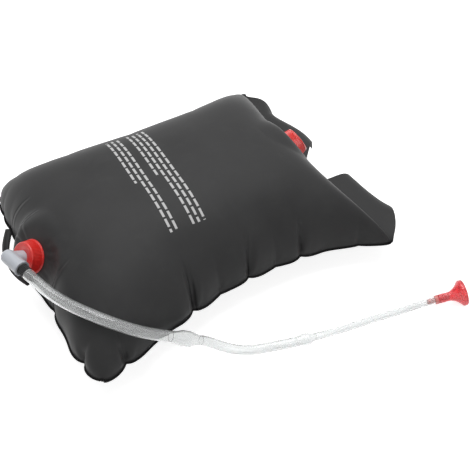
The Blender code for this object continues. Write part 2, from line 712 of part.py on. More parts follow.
def make_outlet(frame, materials):
    """Outlet spout, washer, elbow, slip ring and nut."""
    stack = outlet_stack()
    axis = make_axis("outlet_axis", frame)
    neck_mesh = turned_mesh("outlet_neck", spout_profile(), ring=True)
    place(add_part("outlet_neck", neck_mesh, materials["spout"]), axis)
    ring_outer = ELBOW_FLANGE_RADIUS
    bore = ELBOW_BORE_RADIUS
    washer_rings = ring_profile(bore, ring_outer, stack["washer"], stack["washer"] + WASHER_THICKNESS)
    washer_mesh = turned_mesh("outlet_washer", washer_rings, ring=True)
    place(add_part("outlet_washer", washer_mesh, materials["seal"]), axis)
    hole = ELBOW_STUB_RADIUS + SEAT_GAP
    slip_rings = ring_profile(hole, ring_outer, stack["slip"], stack["slip"] + SLIP_RING_THICKNESS)
    slip = add_part("slip_ring", turned_mesh("slip_ring", slip_rings, ring=True), materials["seal"])
    place(slip, axis)
    nut = add_part("outlet_nut", cap_mesh("outlet_nut", stack["nut"], hole), materials["cap"])
    place(nut, axis)
    make_elbow(axis, materials)


def make_tail(arm, materials):
    """Black hose tail in the elbow's mouth, with its seal and its barb inside the hose."""
    spigot_low = ELBOW_ARM_LENGTH - ELBOW_SOCKET_DEPTH + SEAT_GAP
    collar_low = ELBOW_ARM_LENGTH + SEAT_GAP
    collar_high = collar_low + TAIL_COLLAR_LENGTH
    barb_high = collar_high + TAIL_BARB_LENGTH
    barb_step = TAIL_BARB_LENGTH / TAIL_BARB_STEPS
    barb_root = TAIL_BARB_RADIUS - TAIL_RIB_DEPTH
    profile = (
        (TAIL_BORE_RADIUS, barb_high),
        (barb_root, barb_high),
        (TAIL_BARB_RADIUS, barb_high - barb_step),
        (barb_root, barb_high - barb_step),
        (TAIL_BARB_RADIUS, barb_high - 2 * barb_step),
        (barb_root, barb_high - 2 * barb_step),
        (barb_root, collar_high),
        (TAIL_COLLAR_RADIUS, collar_high),
        (TAIL_COLLAR_RADIUS, collar_low),
        (TAIL_SPIGOT_RADIUS, collar_low),
        (TAIL_SPIGOT_RADIUS, spigot_low),
        (TAIL_BORE_RADIUS, spigot_low),
    )
    steps = 2 * TAIL_RIBS
    mesh = turned_mesh("hose_adapter", profile, steps, ring=True)
    outside_spigot = (TAIL_SPIGOT_RADIUS + TAIL_COLLAR_RADIUS) / 2
    flute(mesh, steps, TAIL_RIB_DEPTH, (collar_low, collar_high), (outside_spigot, ELBOW_RIM_RADIUS))
    axis = make_axis("tail_axis", arm)
    place(add_part("hose_adapter", mesh, materials["tail"]), axis)
    seal_high = ELBOW_ARM_LENGTH - SEAT_GAP
    seal_rings = ring_profile(
        TAIL_SPIGOT_RADIUS + SEAT_GAP,
        ELBOW_SOCKET_RADIUS - SEAT_GAP,
        seal_high - TAIL_SEAL_LENGTH,
        seal_high,
    )
    seal = turned_mesh("adapter_seal", seal_rings, ring=True)
    place(add_part("adapter_seal", seal, materials["seal"]), axis)


def smooth_route(points, start_heading, end_heading, spacing):
    """Evenly spaced places on a cubic through the points, with given headings at its two ends."""
    points = np.array(points, float)
    knots = np.concatenate([[0], np.cumsum(np.linalg.norm(np.diff(points, axis=0), axis=1))])
    gaps = np.diff(knots)
    count = len(points)
    system = np.zeros((count, count))
    right = np.zeros((count, 3))
    system[0, 0] = 1
    system[-1, -1] = 1
    right[0] = np.array(start_heading) / np.linalg.norm(start_heading)
    right[-1] = np.array(end_heading) / np.linalg.norm(end_heading)
    for index in range(1, count - 1):
        before, after = gaps[index - 1], gaps[index]
        system[index, index - 1 : index + 2] = (after, 2 * (before + after), before)
        rise_before = (points[index] - points[index - 1]) / before
        rise_after = (points[index + 1] - points[index]) / after
        right[index] = 3 * (after * rise_before + before * rise_after)
    slopes = np.linalg.solve(system, right)
    fine = np.linspace(0, knots[-1], ROUTE_FINE_STEPS * count)
    span = np.clip(np.searchsorted(knots, fine, side="right") - 1, 0, count - 2)
    gap = gaps[span][:, None]
    share = ((fine - knots[span]) / gaps[span])[:, None]
    curve = (
        (2 * share**3 - 3 * share**2 + 1) * points[span]
        + (share**3 - 2 * share**2 + share) * gap * slopes[span]
        + (3 * share**2 - 2 * share**3) * points[span + 1]
        + (share**3 - share**2) * gap * slopes[span + 1]
    )
    travel = np.concatenate([[0], np.cumsum(np.linalg.norm(np.diff(curve, axis=0), axis=1))])
    marks = np.linspace(0, travel[-1], max(HOSE_LEAST_SPANS, round(travel[-1] / spacing)) + 1)
    return np.stack([np.interp(marks, travel, curve[:, axis]) for axis in range(3)], axis=-1)


def hose_mesh(name, route, radius):
    """Round tube along a route, with filled and welded ends."""
    line = bpy.data.curves.new(name, "CURVE")
    line.dimensions = "3D"
    line.bevel_depth = radius
    line.bevel_resolution = HOSE_SIDE_RESOLUTION
    line.use_fill_caps = True
    spline = line.splines.new("POLY")
    spline.points.add(len(route) - 1)
    for point, spot in zip(spline.points, route):
        point.co = (*spot, 1)
    tube = bpy.data.objects.new(name + "_line", line)
    bpy.context.scene.collection.objects.link(tube)
    bpy.context.view_layer.update()
    mesh = evaluated_mesh(tube)
    bpy.data.objects.remove(tube, do_unlink=True)
    shape = bmesh.new()
    shape.from_mesh(mesh)
    bmesh.ops.remove_doubles(shape, verts=shape.verts, dist=MERGE_DISTANCE)
    bmesh.ops.recalc_face_normals(shape, faces=shape.faces)
    shape.to_mesh(mesh)
    shape.free()
    mesh.name = name
    return mesh


def axis_frame(origin, heading):
    """World matrix with its Z along a heading and its X level."""
    axis = Vector(heading).normalized()
    level = Vector((0, 0, 1)).cross(axis).normalized()
    frame = Matrix((level, axis.cross(level), axis)).transposed().to_4x4()
    frame.translation = Vector(origin)
    return frame


def joiner_profile(length, peak, low_radius, high_radius):
    """Olive shaped joiner, widest at its middle band, tapering to the two hoses."""
    half = length / 2
    band = length * JOINER_BAND_SHARE / 2
    return (
        (0, half),
        (high_radius, half),
        ((high_radius + peak) / 2, (half + band) / 2),
        (peak, band),
        (peak, -band),
        ((low_radius + peak) / 2, -(half + band) / 2),
        (low_radius, -half),
        (0, -half),
    )


def make_joiner(name, centre, heading, profile, material):
    """Joiner turned about the hose's line."""
    part = add_part(name, turned_mesh(name, profile), material)
    part.matrix_world = axis_frame(centre, heading)


def hose_route(start, start_lead, middle, end, end_lead):
    """Route between two fittings: a straight lead in each fitting's line and a smooth run between."""
    start_place, start_heading = (Vector(item) for item in start)
    end_place, end_heading = (Vector(item) for item in end)
    start_heading.normalize()
    end_heading.normalize()
    first = start_place + start_heading * start_lead
    last = end_place - end_heading * end_lead
    run = smooth_route([first, *middle, last], start_heading, end_heading, HOSE_POINT_SPACING)
    return np.vstack([start_place, run, end_place])


def moved_along(spot, heading, distance):
    """Place and heading of a point moved along a heading."""
    return tuple(Vector(spot) + Vector(heading).normalized() * distance), heading


def make_hoses(arm, materials):
    """Three lengths of hose with two joiners between them, bored where a barb goes in."""
    start_height = ELBOW_ARM_LENGTH + SEAT_GAP + TAIL_COLLAR_LENGTH + SEAT_GAP
    start = arm @ Vector((0, 0, start_height))
    start_heading = arm.to_3x3() @ Vector((0, 0, 1))
    half_1 = JOINER_1_LENGTH / 2 + SEAT_GAP
    half_2 = JOINER_2_LENGTH / 2 + SEAT_GAP
    runs = {
        "hose_1": (
            (start, start_heading),
            TAIL_BARB_LENGTH + SEAT_GAP,
            HOSE_1_ROUTE,
            moved_along(JOINER_1_CENTRE, JOINER_1_HEADING, -half_1),
            HOSE_LEAD,
            HOSE_1_RADIUS,
        ),
        "hose_2": (
            moved_along(JOINER_1_CENTRE, JOINER_1_HEADING, half_1),
            HOSE_LEAD,
            HOSE_2_ROUTE,
            moved_along(JOINER_2_CENTRE, JOINER_2_HEADING, -half_2),
            HOSE_LEAD,
            HOSE_2_RADIUS,
        ),
        "hose_3": (
            moved_along(JOINER_2_CENTRE, JOINER_2_HEADING, half_2),
            HOSE_LEAD,
            HOSE_3_ROUTE,
            (HEAD_ENTRY, HEAD_HEADING),
            STEM_BARB_LENGTH + SEAT_GAP,
            HOSE_3_RADIUS,
        ),
    }
    hoses = {}
    for name, (*ends, radius) in runs.items():
        route = hose_route(*ends)
        hoses[name] = add_part(name, hose_mesh(name, route, radius), materials["hose"])
        length = np.linalg.norm(np.diff(route, axis=0), axis=1).sum()
        print(name, "length", round(float(length), 4), "points", len(route))
    tail_bore = cylinder_mesh(
        "tail_bore", TAIL_BARB_RADIUS + SEAT_GAP, -CUT_OVERRUN, TAIL_BARB_LENGTH + SEAT_GAP
    )
    stem_bore = cylinder_mesh(
        "stem_bore", STEM_BARB_RADIUS + SEAT_GAP, -STEM_BARB_LENGTH - SEAT_GAP, CUT_OVERRUN
    )
    cut(hoses["hose_1"], [add_cutter("tail_bore", mesh_in(tail_bore, axis_frame(start, start_heading)))])
    cut(hoses["hose_3"], [add_cutter("stem_bore", mesh_in(stem_bore, axis_frame(HEAD_ENTRY, HEAD_HEADING)))])
    profile_1 = joiner_profile(JOINER_1_LENGTH, JOINER_1_RADIUS, HOSE_1_RADIUS, HOSE_2_RADIUS)
    make_joiner("joiner_1", JOINER_1_CENTRE, JOINER_1_HEADING, profile_1, materials["hose"])
    profile_2 = joiner_profile(JOINER_2_LENGTH, JOINER_2_RADIUS, HOSE_2_RADIUS, HOSE_3_RADIUS)
    make_joiner("joiner_2", JOINER_2_CENTRE, JOINER_2_HEADING, profile_2, materials["hose"])


def make_head(materials):
    """Shower head: a bell that slides on a stem, with a seal between them and a perforated face."""
    axis = make_axis("head_axis", axis_frame(HEAD_ENTRY, HEAD_HEADING))
    collar_low = SEAT_GAP
    collar_high = collar_low + STEM_COLLAR_LENGTH
    neck_low = collar_high + SEAT_GAP
    neck_high = neck_low + BELL_NECK_LENGTH
    stem_high = neck_high + STEM_PROUD
    groove_high = stem_high - STEM_GROOVE_LENGTH
    groove_low = groove_high - STEM_GROOVE_LENGTH
    groove_radius = STEM_RADIUS - STEM_GROOVE_DEPTH
    stem = (
        (STEM_BORE_RADIUS, stem_high),
        (STEM_RADIUS, stem_high),
        (STEM_RADIUS, groove_high),
        (groove_radius, groove_high),
        (groove_radius, groove_low),
        (STEM_RADIUS, groove_low),
        (STEM_RADIUS, collar_high),
        (STEM_COLLAR_RADIUS, collar_high),
        (STEM_COLLAR_RADIUS, collar_low),
        (STEM_BARB_RADIUS, collar_low),
        (STEM_BARB_RADIUS, -STEM_BARB_LENGTH),
        (STEM_BORE_RADIUS, -STEM_BARB_LENGTH),
    )
    place(add_part("head_stem", turned_mesh("head_stem", stem, ring=True), materials["stem"]), axis)
    bore = STEM_RADIUS + 2 * SEAT_GAP
    seal = ring_profile(
        groove_radius + SEAT_GAP, bore - SEAT_GAP, groove_low + SEAT_GAP, groove_high - SEAT_GAP
    )
    place(add_part("head_seal", turned_mesh("head_seal", seal, ring=True), materials["seal"]), axis)
    flare_high = neck_high + BELL_FLARE_LENGTH
    rim_high = flare_high + BELL_RIM_LENGTH
    inner_rim = BELL_RIM_RADIUS - BELL_WALL
    spread = BELL_RIM_RADIUS - BELL_NECK_RADIUS
    outer_flare = [
        (BELL_NECK_RADIUS + spread * share**BELL_FLARE_POWER, neck_high + BELL_FLARE_LENGTH * share)
        for share in BELL_FLARE_SHARES
    ]
    inner_flare = [(radius - BELL_WALL, height) for radius, height in reversed(outer_flare)]
    bell = (
        (inner_rim, rim_high),
        (BELL_RIM_RADIUS, rim_high),
        (BELL_RIM_RADIUS, flare_high),
        *outer_flare,
        (BELL_NECK_RADIUS, neck_high),
        (BELL_NECK_RADIUS, neck_low),
        (bore, neck_low),
        (bore, neck_high),
        *inner_flare,
        (inner_rim, flare_high),
    )
    bell_mesh = turned_mesh("head_bell", bell, BELL_STEPS, ring=True)
    place(add_part("head_bell", bell_mesh, materials["bell"]), axis)
    rose_radius = inner_rim - SEAT_GAP
    rose_low = flare_high + SEAT_GAP
    knee_radius = rose_radius * ROSE_KNEE_SHARE
    knee_height = rose_low + ROSE_DOME * (1 - ROSE_KNEE_SHARE**2)
    rose = (
        (0, rose_low + ROSE_DOME + ROSE_THICKNESS),
        (knee_radius, knee_height + ROSE_THICKNESS),
        (rose_radius, rose_low + ROSE_THICKNESS),
        (rose_radius, rose_low),
        (knee_radius, knee_height),
        (0, rose_low + ROSE_DOME),
    )
    face = add_part("head_rose", turned_mesh("head_rose", rose, BELL_STEPS), materials["bell"])
    place(face, axis)
    drills = bmesh.new()
    for ring, holes in enumerate(ROSE_RING_HOLES):
        for hole in range(holes):
            turn = Euler((0, 0, math.tau * hole / holes)).to_matrix().to_4x4()
            spot = turn @ Matrix.Translation((rose_radius * ring / len(ROSE_RING_HOLES), 0, rose_low))
            bmesh.ops.create_cone(
                drills,
                cap_ends=True,
                segments=ROSE_HOLE_SIDES,
                radius1=ROSE_HOLE_RADIUS,
                radius2=ROSE_HOLE_RADIUS,
                depth=4 * CUT_OVERRUN,
                matrix=spot,
            )
    drill_mesh = bpy.data.meshes.new("rose_drills")
    drills.to_mesh(drill_mesh)
    drills.free()
    drill = add_cutter("rose_drills", drill_mesh)
    place(drill, axis)
    cut(face, [drill])


def main():
    """Model the whole shower bag."""
    clear_scene()
    make_collection(PARTS_COLLECTION)
    make_collection(CUTTERS_COLLECTION)
    materials = {
        "pvc": make_material("black_pvc", (0.045, 0.045, 0.047), 0.5),
        "spout": make_material("black_spout", (0.03, 0.03, 0.03), 0.4),
        "cap": make_material("red_cap", (0.72, 0.015, 0.012), 0.35),
        "seal": make_material("white_rubber", (0.75, 0.75, 0.73), 0.6),
        "elbow": make_material("grey_elbow", (0.45, 0.47, 0.5), 0.3),
        "tail": make_material("black_tail", (0.012, 0.012, 0.012), 0.4),
        "hose": make_material("clear_hose", (0.8, 0.82, 0.82), 0.15),
        "stem": make_material("pale_stem", (0.8, 0.3, 0.28), 0.3),
        "bell": make_material("red_bell", (0.8, 0.05, 0.05), 0.25),
    }
    fill = spout_frame(FILL_PLACE_SHARE, FILL_TILT, FILL_YAW, FILL_SINK, 1)
    outlet = spout_frame(OUTLET_PLACE_SHARE, OUTLET_TILT, OUTLET_YAW, OUTLET_SINK, -1)
    make_bag({"outlet": outlet, "filler": fill}, materials["pvc"])
    make_strap(materials["pvc"])
    make_filler(fill, materials)
    make_outlet(outlet, materials)
    arm = elbow_frame(outlet)
    make_tail(arm, materials)
    make_hoses(arm, materials)
    make_head(materials)


main()
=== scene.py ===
# %% [markdown]
# # A filled camp shower bag
# The bag is a pillow of two welded plies of black PVC, lying full on the floor. A screw cap closes the
# filler at one end. A second, open cap holds a grey elbow at the other end, and from it a clear hose runs
# down over the side and along the floor to a pull-open shower head. The hard frame of the part is loaded
# first, and every surface below is worked out in its space, in metres.

# %% Load the frame
import json
import math

import bmesh
import bpy
import numpy as np
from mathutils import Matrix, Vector


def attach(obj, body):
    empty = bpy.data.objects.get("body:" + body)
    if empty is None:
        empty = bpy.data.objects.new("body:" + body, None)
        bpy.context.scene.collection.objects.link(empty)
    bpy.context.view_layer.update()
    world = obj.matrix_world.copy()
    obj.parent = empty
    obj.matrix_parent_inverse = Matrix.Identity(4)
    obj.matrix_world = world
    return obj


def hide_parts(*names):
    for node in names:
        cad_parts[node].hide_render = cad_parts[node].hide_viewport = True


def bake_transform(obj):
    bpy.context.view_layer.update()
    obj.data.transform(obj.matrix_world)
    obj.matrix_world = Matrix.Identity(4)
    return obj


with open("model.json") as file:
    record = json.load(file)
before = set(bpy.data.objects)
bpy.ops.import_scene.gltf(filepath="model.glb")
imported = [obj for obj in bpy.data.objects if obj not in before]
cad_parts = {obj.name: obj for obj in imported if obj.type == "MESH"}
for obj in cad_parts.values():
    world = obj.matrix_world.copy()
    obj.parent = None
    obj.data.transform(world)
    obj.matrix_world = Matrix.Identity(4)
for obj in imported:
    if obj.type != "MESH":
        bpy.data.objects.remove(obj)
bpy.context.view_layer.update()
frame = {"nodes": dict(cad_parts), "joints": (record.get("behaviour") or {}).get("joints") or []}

# %% [markdown]
# ## The camera
# The picture looks down on the bag from its near left. The place and the aim of the camera were solved
# from the corners of the bag, with the picture taken as square.

# %% Camera
CAMERA_PLACE = (-0.317, -0.638, 0.732)
CAMERA_TURN = (math.radians(44.4), 0.0, math.radians(-31.6))
CAMERA_LENS = 53.62
scene = bpy.context.scene
camera = bpy.data.objects.new("camera", bpy.data.cameras.new("camera"))
camera.location = CAMERA_PLACE
camera.rotation_euler = CAMERA_TURN
camera.data.lens = CAMERA_LENS
scene.collection.objects.link(camera)
scene.camera = camera
print("camera", round(Vector(CAMERA_PLACE).length, 3), "m from the origin")

# %% [markdown]
# ## Helpers for surfaces
# A surface here is a grid of points that a formula gives all at once. The grid may close on itself along
# either of its two directions, as a pipe or a ring does. Each finished object keeps the origin, and only
# its points say where it is.

# %% Surface helpers
MILLIMETRE = 0.001
WELD = 1e-6
SOFT_EDGE = math.radians(40)


def linked_object(name, data):
    """Object of a mesh or a light, linked to the scene."""
    item = bpy.data.objects.new(name, data)
    scene.collection.objects.link(item)
    return item


def paint(item, material):
    """Give an object one material and no other."""
    item.data.materials.clear()
    item.data.materials.append(material)


def surface(name, places, closed_rows=False, closed_columns=False, solid=True, sharp=SOFT_EDGE):
    """Mesh object through an array of places indexed by row, column and axis.

    Each cell of the grid is a quad of its corner and the next ones along the row and the column. A
    solid's volume is the sum of corner 1 dot (corner 2 cross corner 3) over its triangles, divided by
    six, and where that is negative, every face is turned round."""
    rows, columns = places.shape[:2]
    index = np.arange(rows * columns).reshape(rows, columns)
    down = np.roll(index, -1, axis=0)
    quads = np.stack([index, down, np.roll(down, -1, axis=1), np.roll(index, -1, axis=1)], axis=-1)
    quads = quads[: rows if closed_rows else rows - 1, : columns if closed_columns else columns - 1]
    quads = quads.reshape(-1, 4)
    points = places.reshape(-1, 3)
    corners = points[quads]
    volume = np.einsum("ij,ij", corners[:, 0], np.cross(corners[:, 1], corners[:, 2]))
    volume += np.einsum("ij,ij", corners[:, 0], np.cross(corners[:, 2], corners[:, 3]))
    if solid and volume < 0:
        quads = quads[:, ::-1]
    mesh = bpy.data.meshes.new(name)
    mesh.from_pydata(points.tolist(), [], quads.tolist())
    shape = bmesh.new()
    shape.from_mesh(mesh)
    bmesh.ops.remove_doubles(shape, verts=shape.verts, dist=WELD)
    shape.to_mesh(mesh)
    shape.free()
    mesh.shade_smooth()
    mesh.set_sharp_from_angle(angle=sharp)
    return linked_object(name, mesh)


def smooth_step(share):
    """Rise from 0 to 1 with level ends: share squared times (3 minus twice the share)."""
    share = np.clip(share, 0, 1)
    return share * share * (3 - 2 * share)


def hump(distance, width):
    """Bell curve: e to the minus (distance over width) squared."""
    return np.exp(-((distance / width) ** 2))


def rounded(corners, radii, closed, steps=5):
    """Profile of (radius, height) corners with each corner turned into a short arc.

    The arc starts and ends at the corner's radius from it, or at half of a shorter side, and is the
    curve (1 - t) squared A + 2 t (1 - t) C + t squared B, with C the corner itself."""
    corners = np.array(corners, float)
    radii = np.broadcast_to(np.array(radii, float), len(corners))[:, None]
    before = np.roll(corners, 1, axis=0) - corners
    after = np.roll(corners, -1, axis=0) - corners
    before_length = np.linalg.norm(before, axis=1, keepdims=True)
    after_length = np.linalg.norm(after, axis=1, keepdims=True)
    start = corners + before / before_length * np.minimum(radii, before_length / 2)
    end = corners + after / after_length * np.minimum(radii, after_length / 2)
    t = np.linspace(0, 1, steps)[None, :, None]
    arcs = (1 - t) ** 2 * start[:, None] + 2 * t * (1 - t) * corners[:, None] + t**2 * end[:, None]
    if closed:
        return arcs.reshape(-1, 2)
    return np.vstack([corners[:1], arcs[1:-1].reshape(-1, 2), corners[-1:]])


def axes_along(heading):
    """Three unit vectors, of which the third is the heading and the first is level."""
    third = np.array(heading, float) / np.linalg.norm(heading)
    first = np.cross([0, 0, 1], third)
    first /= np.linalg.norm(first)
    return first, np.cross(third, first), third


def turned(name, profile, origin, heading, steps=96, closed=True, ribs=None):
    """Profile turned about a line: origin + r cos(a) first + r sin(a) second + z heading.

    A closed profile is a ring, and an open one starts and ends on the line. ribs, if given, takes the
    radii, heights and angles as arrays and returns new radii."""
    first, second, third = axes_along(heading)
    angle = np.arange(steps) / steps * math.tau
    radius = np.broadcast_to(profile[:, :1], (len(profile), steps))
    height = np.broadcast_to(profile[:, 1:], (len(profile), steps))
    if ribs:
        radius = ribs(radius, height, angle[None, :])
    places = radius[..., None] * (np.cos(angle)[:, None] * first + np.sin(angle)[:, None] * second)
    places = np.array(origin) + places + height[..., None] * third
    return surface(name, places, closed_rows=closed, closed_columns=True)


def combine(item, others, operation):
    """Join closed pieces to one, or cut them out of it, and drop them."""
    for other in others:
        modifier = item.modifiers.new(other.name, "BOOLEAN")
        modifier.operation = operation
        modifier.solver = "EXACT"
        modifier.object = other
    bpy.context.view_layer.update()
    graph = bpy.context.evaluated_depsgraph_get()
    mesh = bpy.data.meshes.new_from_object(item.evaluated_get(graph))
    item.modifiers.clear()
    item.data = mesh
    for other in others:
        bpy.data.objects.remove(other, do_unlink=True)
    mesh.shade_smooth()
    mesh.set_sharp_from_angle(angle=SOFT_EDGE)


joints = {joint["name"]: joint for joint in frame["joints"]}
FILLER = np.array(joints["fill_cap_turn"]["pos_m"])
FILLER_AXIS = np.array(joints["fill_cap_turn"]["axis"])
OUTLET = np.array(joints["outlet_nut_turn"]["pos_m"])
OUTLET_AXIS = np.array(joints["outlet_nut_turn"]["axis"])
ARM_AXIS = np.cross([0, 0, 1], OUTLET_AXIS)
ARM_AXIS /= np.linalg.norm(ARM_AXIS)
CORNER_HEIGHT = 34.6 * MILLIMETRE
CORNER = OUTLET + OUTLET_AXIS * CORNER_HEIGHT
print("filler at", FILLER.round(4), "outlet at", OUTLET.round(4), "elbow corner at", CORNER.round(4))

# %% [markdown]
# ## The hose
# The hose is three lengths of clear tube, each thinner than the one before, joined by two swollen
# joiners. It is soft but keeps a curve, so each length leaves its fitting straight and then bends
# freely. The line is a cubic through a few given points, and the tube's wall is a ring carried
# along it: out along the outside and back along the bore, so the tube is truly open.

# %% Hose lines
HOSE_1_ROUTE = (
    (-0.2296, -0.0761, 0.1050),
    (-0.2205, -0.0985, 0.1040),
    (-0.2053, -0.1298, 0.1068),
    (-0.1880, -0.1545, 0.1048),
    (-0.1612, -0.1722, 0.0880),
)
JOINER_1 = ((-0.1056, -0.1822, 0.0450), (0.826, -0.222, -0.520), 42 * MILLIMETRE)
HOSE_2_ROUTE = (
    (-0.0640, -0.1990, 0.0180),
    (-0.0324, -0.2159, 0.0080),
    (-0.0043, -0.2255, 0.0072),
)
JOINER_2 = ((0.0343, -0.2381, 0.0085), (0.968, -0.250, 0.0), 26 * MILLIMETRE)
HOSE_3_ROUTE = (
    (0.0812, -0.2477, 0.0058),
    (0.1096, -0.2530, 0.0055),
    (0.1384, -0.2584, 0.0055),
    (0.1750, -0.2660, 0.0055),
)
HEAD_ENTRY = (0.2160, -0.2765, 0.0090)
HEAD_HEADING = (0.90, -0.37, 0.22)
SEAT_GAP = 0.3 * MILLIMETRE
HOSE_STEP = 2 * MILLIMETRE
HOSE_LEAD = 3 * MILLIMETRE
TAIL_START = 37.1 * MILLIMETRE
TAIL_BARB = 9.3 * MILLIMETRE
STEM_BARB = 10.3 * MILLIMETRE


def smooth_line(points, start_heading, end_heading):
    """Places along a cubic through the points, with the headings given at its two ends.

    Each span is the sum of its two end points and two end slopes, each times its own cubic in t. The
    slopes come from one set of equations, in which the curve's second derivative is the same on both
    sides of every inner point."""
    points = np.array(points, float)
    knots = np.append(0, np.cumsum(np.linalg.norm(np.diff(points, axis=0), axis=1)))
    gaps = np.diff(knots)
    rises = np.diff(points, axis=0) / gaps[:, None]
    middle = np.append(1, np.append(2 * (gaps[:-1] + gaps[1:]), 1))
    system = np.diag(middle) + np.diag(np.append(gaps[1:], 0), -1) + np.diag(np.append(0, gaps[:-1]), 1)
    inner = 3 * (gaps[1:, None] * rises[:-1] + gaps[:-1, None] * rises[1:])
    slopes = np.linalg.solve(system, np.vstack([start_heading, inner, end_heading]))
    fine = np.linspace(0, knots[-1], 40 * len(points))
    span = np.clip(np.searchsorted(knots, fine, side="right") - 1, 0, len(gaps) - 1)
    gap = gaps[span][:, None]
    t = (fine - knots[span])[:, None] / gap
    line = (2 * t**3 - 3 * t**2 + 1) * points[span] + (t**3 - 2 * t**2 + t) * gap * slopes[span]
    line += (3 * t**2 - 2 * t**3) * points[span + 1] + (t**3 - t**2) * gap * slopes[span + 1]
    return line


def hose_line(start, start_lead, route, end, end_lead):
    """Even places from one fitting to the next: a straight lead at each end and a cubic between."""
    start_place, start_heading = np.array(start[0]), np.array(start[1]) / np.linalg.norm(start[1])
    end_place, end_heading = np.array(end[0]), np.array(end[1]) / np.linalg.norm(end[1])
    first = start_place + start_heading * start_lead
    last = end_place - end_heading * end_lead
    line = smooth_line([first, *route, last], start_heading, end_heading)
    line = np.vstack([start_place, line, end_place])
    travel = np.append(0, np.cumsum(np.linalg.norm(np.diff(line, axis=0), axis=1)))
    marks = np.linspace(0, travel[-1], round(travel[-1] / HOSE_STEP) + 1)
    return np.stack([np.interp(marks, travel, line[:, axis]) for axis in range(3)], axis=-1)


def moved_along(joiner, side):
    """End of a joiner, half its length and one gap from its centre, with the hose's heading there."""
    centre, heading, length = joiner
    unit = np.array(heading) / np.linalg.norm(heading)
    return np.array(centre) + unit * side * (length / 2 + SEAT_GAP), unit


hose_start = (CORNER + ARM_AXIS * TAIL_START, ARM_AXIS)
line_1 = hose_line(hose_start, TAIL_BARB, HOSE_1_ROUTE, moved_along(JOINER_1, -1), HOSE_LEAD)
line_2 = hose_line(moved_along(JOINER_1, 1), HOSE_LEAD, HOSE_2_ROUTE, moved_along(JOINER_2, -1), HOSE_LEAD)
line_3 = hose_line(moved_along(JOINER_2, 1), HOSE_LEAD, HOSE_3_ROUTE, (HEAD_ENTRY, HEAD_HEADING), STEM_BARB)
print("hose lines of", [len(line) for line in (line_1, line_2, line_3)], "points")

# %% Hose tubes
HOSE_SIDES = 48
LIP_ROUNDING = 0.25 * MILLIMETRE


def tube_places(line, outer, inner):
    """Ring carried along a line and back: place + r cos(a) side + r sin(a) up, at outer r, then inner."""
    heading = np.gradient(line, axis=0)
    heading /= np.linalg.norm(heading, axis=1, keepdims=True)
    side = np.cross(heading, [0, 0, 1])
    side /= np.linalg.norm(side, axis=1, keepdims=True)
    up = np.cross(side, heading)
    angle = np.arange(HOSE_SIDES) / HOSE_SIDES * math.tau
    spoke = np.cos(angle)[None, :, None] * side[:, None] + np.sin(angle)[None, :, None] * up[:, None]
    outside = line[:, None] + outer[:, None, None] * spoke
    inside = line[:, None] + inner[:, None, None] * spoke
    return np.concatenate([outside, inside[::-1]])


def make_hose(name, line, radius, wall, swell=0.0):
    """Open tube along a line; its start is stretched by swell over the barb inside it."""
    travel = np.arange(len(line)) * HOSE_STEP
    outer = radius + swell * (1 - smooth_step(travel / (1.4 * TAIL_BARB)))
    lip = np.minimum(travel, travel[::-1])
    outer = outer - LIP_ROUNDING * (1 - smooth_step(lip / HOSE_STEP))
    return surface(name, tube_places(line, outer, np.full(len(line), radius - wall)), True, True)


HOSE_RADII = (7.0 * MILLIMETRE, 6.4 * MILLIMETRE, 4.8 * MILLIMETRE)
HOSE_WALLS = (1.2 * MILLIMETRE, 1.1 * MILLIMETRE, 1.0 * MILLIMETRE)
BARB_SWELL = 0.3 * MILLIMETRE
hose_1 = make_hose("clear_hose_1", line_1, HOSE_RADII[0], HOSE_WALLS[0], BARB_SWELL)
hose_2 = make_hose("clear_hose_2", line_2, HOSE_RADII[1], HOSE_WALLS[1])
hose_3 = make_hose("clear_hose_3", line_3, HOSE_RADII[2], HOSE_WALLS[2])
for hose, node in ((hose_1, "hose_1"), (hose_2, "hose_2"), (hose_3, "hose_3")):
    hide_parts(node)
print("hoses", [len(hose.data.polygons) for hose in (hose_1, hose_2, hose_3)], "faces")

# %% [markdown]
# ## The joiners
# Each joiner is a short olive of the same clear plastic, blown out in the middle where a hard insert
# sits. The outline is a smooth swelling on a straight taper, turned about the hose's own line, with the
# wall's inside running back beneath it.

# %% Joiners


def make_joiner(name, joiner, low_radius, high_radius, peak, wall, band):
    """Hollow olive: a straight taper between the hoses, plus 1 - |x| smoothed as a swelling to the peak."""
    centre, heading, length = joiner
    x = np.linspace(1, -1, 41)
    taper = low_radius + (high_radius - low_radius) * (1 + x) / 2
    swell = smooth_step((1 - np.abs(x)) / (1 - band)) ** 1.3
    outer = taper + (peak - taper) * swell
    height = x * length / 2
    outside = np.stack([outer, height], axis=-1)
    inside = np.stack([outer - wall, height], axis=-1)[::-1]
    return turned(name, np.vstack([outside, inside]), centre, heading, HOSE_SIDES)


joiner_1 = make_joiner("clear_joiner_1", JOINER_1, *HOSE_RADII[:2], peak=9.8e-3, wall=1.3e-3, band=0.12)
joiner_2 = make_joiner("clear_joiner_2", JOINER_2, *HOSE_RADII[1:], peak=7.9e-3, wall=1.2e-3, band=0.16)
for joiner, node in ((joiner_1, "joiner_1"), (joiner_2, "joiner_2")):
    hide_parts(node)
    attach(joiner, "bag")
print("joiners made")

# %% [markdown]
# ## Finishes
# Moulded and welded plastics are never one flat colour. Two node groups are shared by all finishes: one
# gives a fine moulded grain with slow mottling, and one gives scuffs and dust. Each material keeps its
# own shader and sets its own strengths.

# %% Node helpers


def link(tree, source, output, target, socket):
    """Join one node's output to another node's input, both by name."""
    tree.links.new(source.outputs[output], target.inputs[socket])


